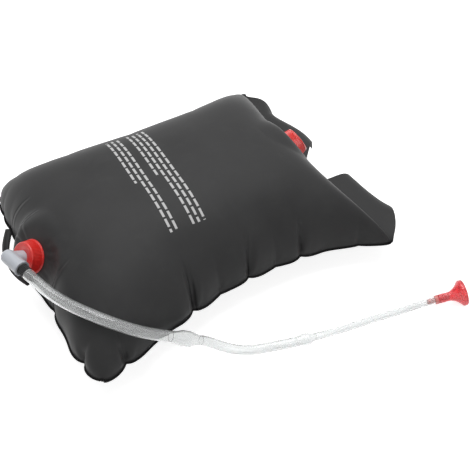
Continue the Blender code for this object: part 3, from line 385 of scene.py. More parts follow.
def new_group(name, inputs, outputs):
    """Node group with float inputs (name, default) and typed outputs (name, socket type)."""
    group = bpy.data.node_groups.new(name, "ShaderNodeTree")
    group.interface.new_socket("Vector", in_out="INPUT", socket_type="NodeSocketVector")
    for label, default in inputs:
        socket = group.interface.new_socket(label, in_out="INPUT", socket_type="NodeSocketFloat")
        socket.default_value = default
    for label, kind in outputs:
        group.interface.new_socket(label, in_out="OUTPUT", socket_type=kind)
    return group, group.nodes.new("NodeGroupInput"), group.nodes.new("NodeGroupOutput")


def math_node(tree, operation, first, second=None):
    """Math node on two values, each a number or a (node, output) pair."""
    node = tree.nodes.new("ShaderNodeMath")
    node.operation = operation
    for slot_index, value in enumerate((first, second)):
        if isinstance(value, tuple):
            tree.links.new(value[0].outputs[value[1]], node.inputs[slot_index])
        elif value is not None:
            node.inputs[slot_index].default_value = value
    return node


def noise_node(tree, vector, scale, detail, roughness=0.5):
    """Noise on a vector output."""
    node = tree.nodes.new("ShaderNodeTexNoise")
    node.inputs["Scale"].default_value = scale
    node.inputs["Detail"].default_value = detail
    node.inputs["Roughness"].default_value = roughness
    tree.links.new(vector[0].outputs[vector[1]], node.inputs["Vector"])
    return node


def ramp(tree, value, low, high, to_low=0.0, to_high=1.0):
    """Map a value's range to another range, held at its ends."""
    node = tree.nodes.new("ShaderNodeMapRange")
    node.inputs["From Min"].default_value = low
    node.inputs["From Max"].default_value = high
    node.inputs["To Min"].default_value = to_low
    node.inputs["To Max"].default_value = to_high
    tree.links.new(value[0].outputs[value[1]], node.inputs["Value"])
    return node


MIX_COLOURS = (6, 7)
MIX_RESULT = 2


def mix_colour(tree, factor, first, second):
    """Colour between two others, each a fixed one or an output, by a factor's output."""
    node = tree.nodes.new("ShaderNodeMix")
    node.data_type = "RGBA"
    tree.links.new(factor, node.inputs[0])
    for slot_index, value in zip(MIX_COLOURS, (first, second)):
        if isinstance(value, tuple):
            node.inputs[slot_index].default_value = (*value, 1)
        else:
            tree.links.new(value, node.inputs[slot_index])
    return node.outputs[MIX_RESULT]


def placed_group(tree, group, place, values):
    """Group node with its values set, on a place given as a (node, output) pair."""
    node = tree.nodes.new("ShaderNodeGroup")
    node.node_tree = group
    for label, value in values.items():
        node.inputs[label].default_value = value
    link(tree, *place, node, "Vector")
    return node


def feed_of(socket):
    """Node and output that feed a socket, as the pair that the helpers above take."""
    feed = socket.links[0]
    return feed.from_node, feed.from_socket.name


# %% Shared node groups
grain, grain_in, grain_out = new_group(
    "moulded_grain",
    (("Grain Scale", 900.0), ("Mottle Scale", 14.0)),
    (("Height", "NodeSocketFloat"), ("Mottle", "NodeSocketFloat")),
)
fine = noise_node(grain, (grain_in, "Vector"), 900.0, 2.0)
link(grain, grain_in, "Grain Scale", fine, "Scale")
slow = noise_node(grain, (grain_in, "Vector"), 14.0, 4.0, 0.55)
link(grain, grain_in, "Mottle Scale", slow, "Scale")
link(grain, fine, "Fac", grain_out, "Height")
mottle = ramp(grain, (slow, "Fac"), 0.35, 0.65)
link(grain, mottle, "Result", grain_out, "Mottle")

scuff, scuff_in, scuff_out = new_group(
    "scuffs_and_dust",
    (("Scuff Scale", 60.0), ("Amount", 0.5)),
    (("Mask", "NodeSocketFloat"),),
)
warp = noise_node(scuff, (scuff_in, "Vector"), 25.0, 2.0)
specks = noise_node(scuff, (scuff_in, "Vector"), 60.0, 6.0, 0.7)
link(scuff, scuff_in, "Scuff Scale", specks, "Scale")
patchy = math_node(scuff, "MULTIPLY", (specks, "Fac"), (warp, "Fac"))
marked = ramp(scuff, (patchy, "Value"), 0.27, 0.42)
scaled = math_node(scuff, "MULTIPLY", (marked, "Result"), (scuff_in, "Amount"))
link(scuff, scaled, "Value", scuff_out, "Mask")
print("node groups", [group.name for group in bpy.data.node_groups])

# %% [markdown]
# ## A plastic finish
# One function lays out the nodes that every plastic here shares. The base colour drifts slowly between
# two near shades and turns paler where it is scuffed. The grain feeds a Bump node, and the mottling
# moves the roughness a little. Clear and translucent plastics add transmission on the shader itself.

# %% Plastic materials
GRAIN_DEPTH = 0.2 * MILLIMETRE


def plastic(name, colour, shade, dust, roughness, bump, grain_scale, scuffs, settings):
    """Principled plastic: colour drifting to shade, scuffs towards dust, grain as bump."""
    material = bpy.data.materials.new(name)
    material.use_nodes = True
    tree = material.node_tree
    shader = tree.nodes["Principled BSDF"]
    place = tree.nodes.new("ShaderNodeTexCoord")
    texture = placed_group(tree, grain, (place, "Object"), {"Grain Scale": grain_scale})
    marks = placed_group(tree, scuff, (place, "Object"), {"Amount": scuffs})
    drift = mix_colour(tree, texture.outputs["Mottle"], colour, shade)
    worn = mix_colour(tree, marks.outputs["Mask"], drift, dust)
    tree.links.new(worn, shader.inputs["Base Color"])
    rough = ramp(tree, (texture, "Mottle"), 0.0, 1.0, *roughness)
    link(tree, rough, "Result", shader, "Roughness")
    relief = tree.nodes.new("ShaderNodeBump")
    relief.inputs["Strength"].default_value = bump
    relief.inputs["Distance"].default_value = GRAIN_DEPTH
    link(tree, texture, "Height", relief, "Height")
    link(tree, relief, "Normal", shader, "Normal")
    for socket, value in settings.items():
        shader.inputs[socket].default_value = value
    return material


RED = plastic(
    "red_cap_plastic", (0.78, 0.022, 0.016), (0.66, 0.014, 0.012), (0.85, 0.25, 0.2),
    (0.28, 0.36), 0.15, 1400.0, 0.12, {"IOR": 1.5, "Coat Weight": 0.3, "Coat Roughness": 0.15},
)
ELBOW_GREY = plastic(
    "grey_elbow_plastic", (0.66, 0.69, 0.74), (0.60, 0.63, 0.68), (0.75, 0.75, 0.75),
    (0.30, 0.38), 0.1, 1100.0, 0.1, {"IOR": 1.49, "Transmission Weight": 0.2},
)
BLACK_FITTING = plastic(
    "black_fitting_plastic", (0.012, 0.012, 0.013), (0.02, 0.02, 0.021), (0.09, 0.09, 0.09),
    (0.40, 0.50), 0.2, 1200.0, 0.06, {"IOR": 1.5, "Specular IOR Level": 0.2},
)
CLEAR = plastic(
    "clear_hose_plastic", (0.93, 0.94, 0.94), (0.88, 0.89, 0.89), (1.0, 1.0, 1.0),
    (0.03, 0.06), 0.0, 500.0, 0.03, {"IOR": 1.42, "Transmission Weight": 0.86},
)
RED_CLEAR = plastic(
    "red_clear_plastic", (0.98, 0.22, 0.24), (0.96, 0.17, 0.19), (0.97, 0.5, 0.5),
    (0.08, 0.14), 0.05, 900.0, 0.06, {"IOR": 1.45, "Transmission Weight": 0.72},
)
PALE_STEM = plastic(
    "pale_stem_plastic", (0.92, 0.35, 0.33), (0.88, 0.3, 0.28), (0.95, 0.6, 0.6),
    (0.2, 0.3), 0.05, 900.0, 0.1, {"IOR": 1.5, "Transmission Weight": 0.4},
)
SEAL = plastic(
    "white_seal_rubber", (0.72, 0.72, 0.7), (0.62, 0.62, 0.6), (0.5, 0.5, 0.48),
    (0.5, 0.65), 0.3, 1300.0, 0.3, {"IOR": 1.5},
)
for piece in (hose_1, hose_2, hose_3, joiner_1, joiner_2):
    paint(piece, CLEAR)
print("plastics ready")

# %% [markdown]
# ## The bag's outline
# Two flat plies are welded round their edge and filled, so the ends and the sides draw in, the four
# corners stay out as ears, and the welded edge puckers where the cloth has too much length. Every point
# of a ply has two stations, along and across the bag, each from -1 to 1 at the seams. The sine of a
# quarter turn times the station sets the points closer together at the seams, where the shape turns.

# %% Bag outline
EAR_LENGTH = 423 * MILLIMETRE
EAR_WIDTH = 375 * MILLIMETRE
SEAM_HEIGHT = 52 * MILLIMETRE
CROWN_HEIGHT = 95 * MILLIMETRE
BELLY_DEPTH = 78 * MILLIMETRE
PLY = 0.8 * MILLIMETRE
WELD_WIDTH = 3.5 * MILLIMETRE
EDGE_GROWTH = 2.5 * MILLIMETRE
NEAR_SAG = 9 * MILLIMETRE
OUTLET_SAG = 4 * MILLIMETRE
WELD_GAP = 0.5 * MILLIMETRE
FILLER_DRAW = 36 * MILLIMETRE
NEAR_DRAW = 52 * MILLIMETRE
FAR_DRAW = 37 * MILLIMETRE
END_BULGE = 9 * MILLIMETRE
EAR_LOBE = 7 * MILLIMETRE
SPOUT_LOBE = 9 * MILLIMETRE
NEAR_FILLER_CORNER = 4 * MILLIMETRE
FAR_FILLER_CORNER = 11 * MILLIMETRE
OUTLET_CORNER = 8 * MILLIMETRE
EAR_HEIGHTS = ((-0.10, -0.22), (-0.10, 0.36))
TUCK_STEP = 3 * MILLIMETRE
TUCK_FADE = 2 * MILLIMETRE
LEAST_DROP = 0.01 * MILLIMETRE
FAR_AWAY = 10.0
# Puckers of the near seam: station along, station along and across at the crease's end, depth, width
NEAR_PUCKERS = (
    (-0.655, -0.64, -0.80, 5.0e-3, 5.0e-3),
    (-0.235, -0.218, -0.64, 5.5e-3, 4.5e-3),
    (0.035, 0.07, -0.62, 4.0e-3, 4.0e-3),
    (0.285, 0.292, -0.72, 4.0e-3, 4.0e-3),
    (-0.10, -0.09, -0.80, 1.5e-3, 4.0e-3),
    (0.16, 0.17, -0.84, 1.5e-3, 4.0e-3),
    (0.60, 0.61, -0.84, 1.8e-3, 5.0e-3),
)
FAR_PUCKERS = (
    (-0.70, -0.68, 0.82, 4.0e-3, 5.0e-3),
    (-0.38, -0.36, 0.70, 4.5e-3, 4.5e-3),
    (-0.08, -0.10, 0.66, 4.5e-3, 4.5e-3),
    (0.24, 0.22, 0.72, 4.0e-3, 4.0e-3),
    (0.55, 0.53, 0.80, 3.5e-3, 5.0e-3),
)
# Puckers of the outlet end: station across, station across and along at the crease's end, depth, width
OUTLET_PUCKERS = (
    (-0.60, -0.56, -0.82, 5.5e-3, 5.0e-3),
    (-0.225, -0.22, -0.80, 3.5e-3, 4.5e-3),
    (0.36, 0.31, -0.78, 1.4e-3, 4.0e-3),
    (0.50, 0.48, -0.86, 1.4e-3, 3.0e-3),
    (0.68, 0.66, -0.88, 1.8e-3, 3.0e-3),
)


def half_turn_sine(station):
    """Sine of a quarter turn times the station."""
    return np.sin(math.pi / 2 * station)


def bulge(share, fullness):
    """Height share of a filled section: the square root of 1 minus |share| to the fullness."""
    return np.sqrt(np.clip(1 - np.abs(share) ** fullness, 0, 1))


def seam_height(along, across):
    """Seam height times 1 plus a tilt that the ears set, growing with (along times across) squared."""
    (near_out, far_out), (near_fill, far_fill) = EAR_HEIGHTS
    outlet = near_out + (far_out - near_out) * (1 + across) / 2
    filler = near_fill + (far_fill - near_fill) * (1 + across) / 2
    tilt = outlet + (filler - outlet) * (1 + along) / 2
    near = NEAR_SAG * np.clip(-across, 0, 1) ** 6 * (1 - np.abs(along) ** 5)
    end = OUTLET_SAG * np.clip(-along, 0, 1) ** 6 * smooth_step(-2 * across) * (1 - np.abs(across) ** 5)
    return SEAM_HEIGHT * (1 + tilt * (along * across) ** 2) - near - end


def pucker_draw(place, puckers, span):
    """How far the seam is drawn in: a sharp bell for each pucker, and a soft swell between them."""
    draw = np.zeros_like(place)
    for start, *_, depth, width in puckers:
        centre = span * half_turn_sine(np.float64(start))
        draw += depth * np.exp(-np.abs((place - centre) / width) ** 1.3)
        draw -= 0.45 * depth * (hump(place - centre - 4 * width, 3 * width))
        draw -= 0.45 * depth * (hump(place - centre + 4 * width, 3 * width))
    return draw


def outlet_reach(across_sine):
    """Distance of the outlet end's seam from the middle: a bulge, and lobes at near ear and spout."""
    lobe = EAR_LOBE * smooth_step(-across_sine)
    lobe += SPOUT_LOBE * smooth_step(1 - np.abs(across_sine) / 0.3)
    return EAR_LENGTH / 2 + EDGE_GROWTH + END_BULGE * (1 - across_sine**4) + lobe


def tucked(drop, near_room, end_room):
    """Drop of the lower ply, held near a half right angle next to the near and the outlet end's seam.

    A limit is the room to its seam plus 3 mm times (1 minus e to the minus room over 2 mm). The drop and
    both limits are joined smoothly: each to the minus 4, added, and the sum to the minus a quarter."""
    limits = [room + TUCK_STEP * (1 - np.exp(-room / TUCK_FADE)) for room in (near_room, end_room)]
    return sum(np.maximum(limit, LEAST_DROP) ** -4.0 for limit in (drop, *limits)) ** -0.25


def chamber_place(along, across, upper):
    """Outside of a filled ply: sines along and across, drawn in at sides and ends, and the two bulges.

    Each corner is drawn in by its rounding times the product of both sines, to the power 10."""
    along_sine = half_turn_sine(along)
    across_sine = half_turn_sine(across)
    end_power = np.where(across < 0, 3.5, 2.0)
    fill_half = EAR_LENGTH / 2 - FILLER_DRAW * (1 - np.abs(across_sine) ** end_power)
    side_draw = np.where(across < 0, NEAR_DRAW, FAR_DRAW)
    power = np.where((along < 0) & (across < 0), 1.5, 3.0)
    side_half = EAR_WIDTH / 2 + EDGE_GROWTH - side_draw * (1 - np.abs(along_sine) ** power)
    filler_corner = np.where(across < 0, NEAR_FILLER_CORNER, FAR_FILLER_CORNER)
    corner = np.where(along > 0, filler_corner, OUTLET_CORNER)
    rounding = corner * np.abs(along_sine * across_sine) ** 10
    x = np.where(along < 0, outlet_reach(across_sine), fill_half) * along_sine - np.sign(along) * rounding
    y = side_half * across_sine - np.sign(across) * rounding
    end_height = np.where(along < 0, bulge(along_sine, 4.5), bulge(along_sine, 6.0))
    height = end_height * bulge(across_sine, 3.2)
    edge = np.abs(across_sine) ** 8
    y += pucker_draw(x, NEAR_PUCKERS, EAR_LENGTH / 2) * edge * (across < 0)
    y -= pucker_draw(x, FAR_PUCKERS, EAR_LENGTH / 2) * edge * (across > 0)
    end_edge = np.abs(along_sine) ** 20 * (along < 0)
    x += pucker_draw(y, OUTLET_PUCKERS, EAR_WIDTH / 2) * end_edge
    seam = seam_height(along, across)
    if upper:
        z = seam + CROWN_HEIGHT * height
    else:
        end_room = np.where(along < 0, outlet_reach(across_sine), FAR_AWAY) * (1 + along_sine)
        drop = tucked(BELLY_DEPTH * height, side_half * (1 + across_sine), end_room)
        z = np.maximum(seam - drop, PLY + WELD_GAP / 2)
    return np.stack(np.broadcast_arrays(x, y, z), axis=-1)


print("bag", round(EAR_LENGTH, 3), "by", round(EAR_WIDTH, 3), "m between its ears")

# %% [markdown]
# ## The flap
# Past the filler's seam the two plies run on as a flap, welded together, that stands out a little way
# and then hangs down. A wide notch for the hand parts it into two tabs. The length of the flap falls off
# towards the ears, and its path turns down by the integral of a smooth droop angle.

# %% Flap and whole sheet
FLAP_DEPTH = 100 * MILLIMETRE
FLAP_ROOT = 6 * MILLIMETRE
FLAP_WAVE = 7 * MILLIMETRE
FLAP_DROOP = math.radians(75)
FLAP_BEND = 45 * MILLIMETRE
NEAR_SHELF = 45 * MILLIMETRE
FAR_SHELF = 11 * MILLIMETRE
SIDE_LEAN = math.radians(40)
END_LEAN = math.radians(35)
PATCH_RADIUS = 36 * MILLIMETRE
PATCH_FADE = 25 * MILLIMETRE
PATCH_DEPTH = 25 * MILLIMETRE
PATCH_RISE = 12 * MILLIMETRE
ALONG_CELLS = 270
ACROSS_CELLS = 132
FLAP_CELLS = 34
WELD_CELLS = 3


def flap_reach(across):
    """Length of the flap past the seam: 1 minus the sine cubed, scaled between its root and its depth."""
    return FLAP_ROOT + (FLAP_DEPTH - FLAP_ROOT) * (1 - np.abs(half_turn_sine(across)) ** 3)


def flap_path(reach, across):
    """Advance and fall along the flap: the means of the droop's cosine and sine, times the reach."""
    shelf = NEAR_SHELF - (NEAR_SHELF - FAR_SHELF) * smooth_step((across - 0.2) / 0.35)
    shares = np.linspace(0, 1, 41).reshape(-1, 1, 1)
    droop = FLAP_DROOP * smooth_step((reach * shares - shelf) / FLAP_BEND)
    return reach * np.cos(droop).mean(axis=0), reach * np.sin(droop).mean(axis=0)


def sheet_grid():
    """Stations and distances past the seams, as 2-D arrays by row (along) and column (across)."""
    weld = np.arange(1, WELD_CELLS + 1) / WELD_CELLS
    flap = np.arange(1, FLAP_CELLS + 1) / FLAP_CELLS
    chamber = np.linspace(-1, 1, ALONG_CELLS + 1)
    along = np.concatenate([-np.ones(WELD_CELLS), chamber, np.ones(FLAP_CELLS)])
    past_along = np.concatenate([-weld[::-1], np.zeros(len(chamber)), flap])
    body = np.linspace(-1, 1, ACROSS_CELLS + 1)
    across = np.concatenate([-np.ones(WELD_CELLS), body, np.ones(WELD_CELLS)])
    past_across = np.concatenate([-weld[::-1], np.zeros(len(body)), weld])
    stations = np.meshgrid(along, across, indexing="ij")
    return (*stations, *np.meshgrid(past_along, past_across, indexing="ij"))


def flatten_patch(places, origin, axis):
    """Draw the cloth onto the plane of a spout's weld, fading out with distance and near the seam."""
    offset = places - (origin - axis * PLY)
    height = offset @ axis
    radius = np.linalg.norm(offset - height[..., None] * axis, axis=-1)
    share = 1 - smooth_step((radius - PATCH_RADIUS) / PATCH_FADE)
    share *= smooth_step((places[..., 2] - SEAM_HEIGHT) / PATCH_RISE)
    share = np.where(np.abs(height) < PATCH_DEPTH, share, 0)
    return places - (share * height)[..., None] * axis


def sheet_places(upper):
    """Inner face of a whole ply: the chamber, the weld flange round it and the flap."""
    along, across, past_along, past_across = sheet_grid()
    places = chamber_place(along, across, upper)
    corner = np.where((past_along < 0) & (past_across != 0), 1 / np.sqrt(2), 1.0)
    side_lean = SIDE_LEAN * (1 - np.abs(along) ** 6)
    end_lean = END_LEAN * smooth_step(-4 * across) * (1 - np.abs(across) ** 6)
    out_end = WELD_WIDTH * corner * np.clip(-past_along, 0, 1)
    out_side = WELD_WIDTH * corner * past_across * (1 - 0.85 * np.clip(past_along, 0, 1) ** 3)
    places[..., 0] -= out_end * np.cos(end_lean)
    places[..., 1] += out_side * np.cos(side_lean)
    places[..., 2] -= out_end * np.sin(end_lean) + np.abs(out_side) * np.sin(side_lean)
    on_flap = past_along > 0
    advance, fall = flap_path(np.clip(past_along, 0, 1) * flap_reach(across), across)
    folds = np.sin(math.tau * 0.78 * across + math.pi * 0.66) ** 2
    wave = FLAP_WAVE * past_along**2 * folds * (1 - across**4)
    room = seam_height(along, across) - 2 * MILLIMETRE
    places[..., 0] += np.where(on_flap, advance, 0)
    places[..., 2] += np.where(on_flap, np.maximum(wave - fall, -room), 0)
    places[..., 2] += WELD_GAP / 2 if upper else -WELD_GAP / 2
    if upper:
        places = flatten_patch(flatten_patch(places, OUTLET, OUTLET_AXIS), FILLER, FILLER_AXIS)
    return places


print("sheet grid", ALONG_CELLS + FLAP_CELLS + WELD_CELLS, "by", ACROSS_CELLS + 2 * WELD_CELLS, "cells")

# %% [markdown]
# ## Creases
# From each pucker of the seam a crease runs up into the face: a narrow valley between two soft
# shoulders, deepest at the seam and gone at its end. Round each spout, short folds fan out from the weld.
# Both are heights added along the cloth's own normal, so they follow the pillow's curve.

# %% Creases
SIDE_SHARE = 0.55
END_SHARE = 0.3


def crease(station, seam, place, span, start, end, depth, width):
    """Valley from a seam to its end: minus a bell, plus 0.55 of a bell on each side, fading to the end.

    The share of the way is the station's distance from the seam over the end's. The line runs at that
    share between two cross stations, and the bell is over the distance from it."""
    share = (station - seam) / (end[1] - seam)
    centre = start + (end[0] - start) * share
    distance = place - span / 2 * half_turn_sine(centre)
    fade = np.where(share >= 0, smooth_step(1 - share), 0)
    wide = width * (0.6 + 0.9 * np.clip(share, 0, 1))
    shape = 0.55 * hump(np.abs(distance) - 2.1 * wide, 1.1 * wide) - hump(distance, wide)
    return depth * fade * shape


def face_creases(places, along, across):
    """All creases of a face, from the near, far and outlet seams."""
    height = np.zeros(places.shape[:2])
    x, y = places[..., 0], places[..., 1]
    seams = (
        (NEAR_PUCKERS, across, -1, x, EAR_LENGTH, SIDE_SHARE, 1.0),
        (FAR_PUCKERS, across, 1, x, EAR_LENGTH, SIDE_SHARE, 1.0),
        (OUTLET_PUCKERS, along, -1, y, EAR_WIDTH, END_SHARE, 0.7),
    )
    for puckers, station, seam, place, span, depth_share, width_share in seams:
        for start, *end, depth, width in puckers:
            fold = crease(station, seam, place, span, start, end, depth_share * depth, width_share * width)
            height += fold * (station * seam > 0)
    return height


def spout_folds(places, origin, axis, folds):
    """Folds that fan out from a weld: for each, a bell across its ray and a hump along it."""
    first, second, third = axes_along(axis)
    offset = places - origin
    x, y = offset @ first, offset @ second
    near = np.abs(offset @ third) < 40 * MILLIMETRE
    radius = np.hypot(x, y)
    height = np.zeros(places.shape[:2])
    for angle, reach, depth, width in folds:
        turn = math.radians(angle)
        along_ray = x * math.cos(turn) + y * math.sin(turn)
        off_ray = y * math.cos(turn) - x * math.sin(turn)
        fade = smooth_step((along_ray - 20 * MILLIMETRE) / (12 * MILLIMETRE))
        fade *= smooth_step((reach - radius) / (0.6 * reach))
        shape = 0.6 * hump(np.abs(off_ray) - 1.9 * width, width) - hump(off_ray, width)
        height += np.where(near, depth * fade * shape, 0)
    return height


# Folds round the outlet: angle about the spout, reach, depth and width
OUTLET_FOLDS = (
    (22, 70e-3, 1.0e-3, 2.6e-3),
    (40, 62e-3, 1.2e-3, 2.6e-3),
    (58, 55e-3, 1.0e-3, 2.4e-3),
    (150, 62e-3, 0.9e-3, 2.4e-3),
    (172, 66e-3, 1.1e-3, 2.6e-3),
    (-14, 48e-3, 0.9e-3, 2.4e-3),
)
FILLER_FOLDS = (
    (25, 60e-3, 1.2e-3, 3.0e-3),
    (155, 60e-3, 1.2e-3, 3.0e-3),
    (65, 50e-3, 0.8e-3, 3.0e-3),
    (-25, 55e-3, 1.4e-3, 3.0e-3),
    (200, 55e-3, 1.4e-3, 3.0e-3),
)
SWELL_HEIGHT = 0.8 * MILLIMETRE


def soft_swell(places):
    """Slow unevenness of the filled cloth: two crossed sines of about 130 and 190 mm, up to 0.8 mm."""
    x, y = places[..., 0] / 0.1, places[..., 1] / 0.1
    return SWELL_HEIGHT * np.sin(4.1 * x + 2.3 * y) * np.sin(2.7 * y - 1.9 * x + 1.0)


def grid_normals(places):
    """Unit normals of a grid: the step along the rows crossed with the step along the columns."""
    normal = np.cross(np.gradient(places, axis=0), np.gradient(places, axis=1))
    return normal / np.maximum(np.linalg.norm(normal, axis=-1, keepdims=True), 1e-12)


def creased_sheet(upper):
    """Places of a ply with its creases, kept above the floor, and its mask of the welded edge."""
    along, across, past_along, past_across = sheet_grid()
    places = sheet_places(upper)
    normal = grid_normals(places) * (1 if upper else -1)
    inside = (past_along == 0) & (past_across == 0)
    height = face_creases(places, along, across) * (1.0 if upper else 0.7)
    seam_fade = smooth_step((1 - np.abs(across)) / 0.04) * smooth_step((1 - np.abs(along)) / 0.04)
    height = height * np.clip(seam_fade, 0.0, 1.0)
    if upper:
        height += spout_folds(places, OUTLET, OUTLET_AXIS, OUTLET_FOLDS) * seam_fade
        height += spout_folds(places, FILLER, FILLER_AXIS, FILLER_FOLDS) * seam_fade
        height += soft_swell(places) * seam_fade
    height = np.where(inside, height, 0)
    places = places + height[..., None] * normal
    if not upper:
        places[..., 2] = np.maximum(places[..., 2], PLY)
    weld = np.where((past_along < 0) | (past_across != 0), 1.0, 0.0)
    print("creases from", round(height.min() * 1000, 2), "to", round(height.max() * 1000, 2), "mm")
    return places, weld


upper_places, upper_weld = creased_sheet(True)
lower_places, lower_weld = creased_sheet(False)

# %% [markdown]
# ## The two plies
# Each ply is one sheet with a Solidify modifier for its thickness. The upper one has a round hole for
# each spout. The notch between the flap's tabs is cut through both plies by one rounded prism.

# %% Plies


def make_ply(name, places, weld, upward):
    """Sheet object with its weld mask as a point attribute and its thickness outwards."""
    item = surface(name, places if upward else places[:, ::-1], solid=False, sharp=math.radians(60))
    mask = item.data.attributes.new("weld", "FLOAT", "POINT")
    values = weld if upward else weld[:, ::-1]
    mask.data.foreach_set("value", values.astype(np.float32).ravel())
    wall = item.modifiers.new("wall", "SOLIDIFY")
    wall.thickness = PLY
    wall.offset = 1
    return item


def prism(name, outline, low, high):
    """Upright closed prism over an outline of (x, y) points."""
    shape = bmesh.new()
    base = shape.faces.new([shape.verts.new((x, y, low)) for x, y in outline])
    walls = bmesh.ops.extrude_face_region(shape, geom=[base])
    top = [part for part in walls["geom"] if isinstance(part, bmesh.types.BMVert)]
    bmesh.ops.translate(shape, verts=top, vec=(0, 0, high - low))
    bmesh.ops.recalc_face_normals(shape, faces=shape.faces)
    mesh = bpy.data.meshes.new(name)
    shape.to_mesh(mesh)
    shape.free()
    return linked_object(name, mesh)


def rod(name, origin, axis, radius, low, high, steps=64):
    """Closed cylinder about a line, used as a cutter."""
    profile = np.array([(0, high), (radius, high), (radius, low), (0, low)], float)
    return turned(name, profile, origin, axis, steps, closed=False)


NOTCH_CORNERS = (
    (0.2855, -0.052), (0.2855, 0.085), (0.1985, -0.0005), (0.190, -0.013), (0.190, -0.036),
    (0.1985, -0.0445),
)
NOTCH_ROUNDING = (0, 0, 14e-3, 5e-3, 5e-3, 14e-3)
notch_outline = rounded(NOTCH_CORNERS, NOTCH_ROUNDING, closed=True, steps=7)
upper_ply = make_ply("upper_ply", upper_places, upper_weld, True)
lower_ply = make_ply("lower_ply", lower_places, lower_weld, False)
HOLE_RADIUS = 14.8 * MILLIMETRE
HOLE_REACH = 4 * MILLIMETRE
NOTCH_SPAN = (-10 * MILLIMETRE, 64 * MILLIMETRE)
holes = [
    rod("outlet_hole", OUTLET, OUTLET_AXIS, HOLE_RADIUS, -HOLE_REACH, HOLE_REACH),
    rod("filler_hole", FILLER, FILLER_AXIS, HOLE_RADIUS, -HOLE_REACH, HOLE_REACH),
    prism("notch_upper", notch_outline, *NOTCH_SPAN),
]
combine(upper_ply, holes, "DIFFERENCE")
combine(lower_ply, [prism("notch_lower", notch_outline, *NOTCH_SPAN)], "DIFFERENCE")
for ply, node in ((upper_ply, "upper_sheet"), (lower_ply, "lower_sheet")):
    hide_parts(node)
    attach(ply, "bag")
print("plies of", [len(ply.data.polygons) for ply in (upper_ply, lower_ply)], "faces")

# %% [markdown]
# ## The black PVC finish
# The cloth is matte with a very fine embossed grain. Along the weld it is painted nearly black, a
# painted shade standing in for the shadow of the flange's edge, and it is a little rougher, with the thin
# ribs of the welding bar. A printed panel sits on the top: rows of plain white bars. They are worked out
# from the place on the bag: a row number and a share of the row from the x coordinate, which leans a
# little with y, and a bar number and a share of the bar from the y one.

# %% Printed rows group
PANEL = (
    ("Near Edge", -0.096), ("Far Edge", 0.1), ("First Row", -0.0766), ("Row Pitch", 0.0076),
    ("Bar Pitch", 0.014),
)
PANEL_LEAN = -0.055
PANEL_LOW = 0.09
LAST_ROW = 7
GAP_ROW = 3
ROW_FILL = 0.42
BAR_FILL = 0.80
ROW_STAGGER = 0.37
SHORT_ROW_LOSS = 0.088
printed, printed_in, printed_out = new_group("printed_rows", PANEL, (("Mask", "NodeSocketFloat"),))
axes = printed.nodes.new("ShaderNodeSeparateXYZ")
link(printed, printed_in, "Vector", axes, "Vector")
lean = math_node(printed, "MULTIPLY", (axes, "Y"), PANEL_LEAN)
leaned = math_node(printed, "ADD", (axes, "X"), (lean, "Value"))
from_first = math_node(printed, "SUBTRACT", (leaned, "Value"), (printed_in, "First Row"))
row_value = math_node(printed, "DIVIDE", (from_first, "Value"), (printed_in, "Row Pitch"))
row_number = math_node(printed, "FLOOR", (row_value, "Value"))
row_share = math_node(printed, "FRACT", (row_value, "Value"))
in_row = math_node(printed, "LESS_THAN", (row_share, "Value"), ROW_FILL)
low_row = math_node(printed, "GREATER_THAN", (row_number, "Value"), -0.5)
high_row = math_node(printed, "LESS_THAN", (row_number, "Value"), LAST_ROW + 0.5)
gap_row = math_node(printed, "COMPARE", (row_number, "Value"), GAP_ROW)
gap_row.inputs[2].default_value = 0.25
shown_row = math_node(printed, "SUBTRACT", 1.0, (gap_row, "Value"))
stagger = math_node(printed, "MULTIPLY", (row_number, "Value"), ROW_STAGGER)
bar_value = math_node(printed, "DIVIDE", (axes, "Y"), (printed_in, "Bar Pitch"))
bar_place = math_node(printed, "ADD", (bar_value, "Value"), (stagger, "Value"))
bar_share = math_node(printed, "FRACT", (bar_place, "Value"))
in_bar = math_node(printed, "LESS_THAN", (bar_share, "Value"), BAR_FILL)
in_four = math_node(printed, "MODULO", (row_number, "Value"), 4.0)
short_row = math_node(printed, "COMPARE", (in_four, "Value"), 0.0)
short_row.inputs[2].default_value = 0.25
missing = math_node(printed, "MULTIPLY", (short_row, "Value"), SHORT_ROW_LOSS)
near_end = math_node(printed, "ADD", (printed_in, "Near Edge"), (missing, "Value"))
past_near = math_node(printed, "GREATER_THAN", (axes, "Y"), (near_end, "Value"))
past_far = math_node(printed, "LESS_THAN", (axes, "Y"), (printed_in, "Far Edge"))
above = math_node(printed, "GREATER_THAN", (axes, "Z"), PANEL_LOW)
mask = in_row
for factor in (low_row, high_row, shown_row, in_bar, past_near, past_far, above):
    mask = math_node(printed, "MULTIPLY", (mask, "Value"), (factor, "Value"))
link(printed, mask, "Value", printed_out, "Mask")
print("printed rows of", len(printed.nodes), "nodes")

# %% [markdown]
# ## Sharp folds
# Sharp folds run in from the edges. They are about as narrow as the mesh's cells, so they are made in
# the bump only. One group makes a fold along a line between two places on the plan: with q the distance
# from the line over the fold's width, the height is 0.6 times a bell about q = 1.8, minus a bell about
# q = 0, and it fades from the fold's start to its end. A second group adds up all folds, in
# millimetres, for a Bump node.

# %% Fold lines groups
# Folds of the upper ply: start and end on the plan in millimetres, width and depth in millimetres
FOLDS = (
    ((-80.4, -154), (-74.4, -118), 1.8, 1.2),
    ((-73.2, -152), (-70.7, -128), 1.6, 0.8),
    ((4, -146), (22, -116), 1.6, 1.0),
    ((86, -150), (91, -124), 1.6, 1.0),
    ((-183, -180), (-185, -164), 1.8, 1.2),
    ((-221, -57), (-188, -59), 1.8, 1.3),
    ((-219, 49), (-190, 40), 1.8, 1.3),
    ((-223, 88), (-190, 72), 1.8, 1.2),
)


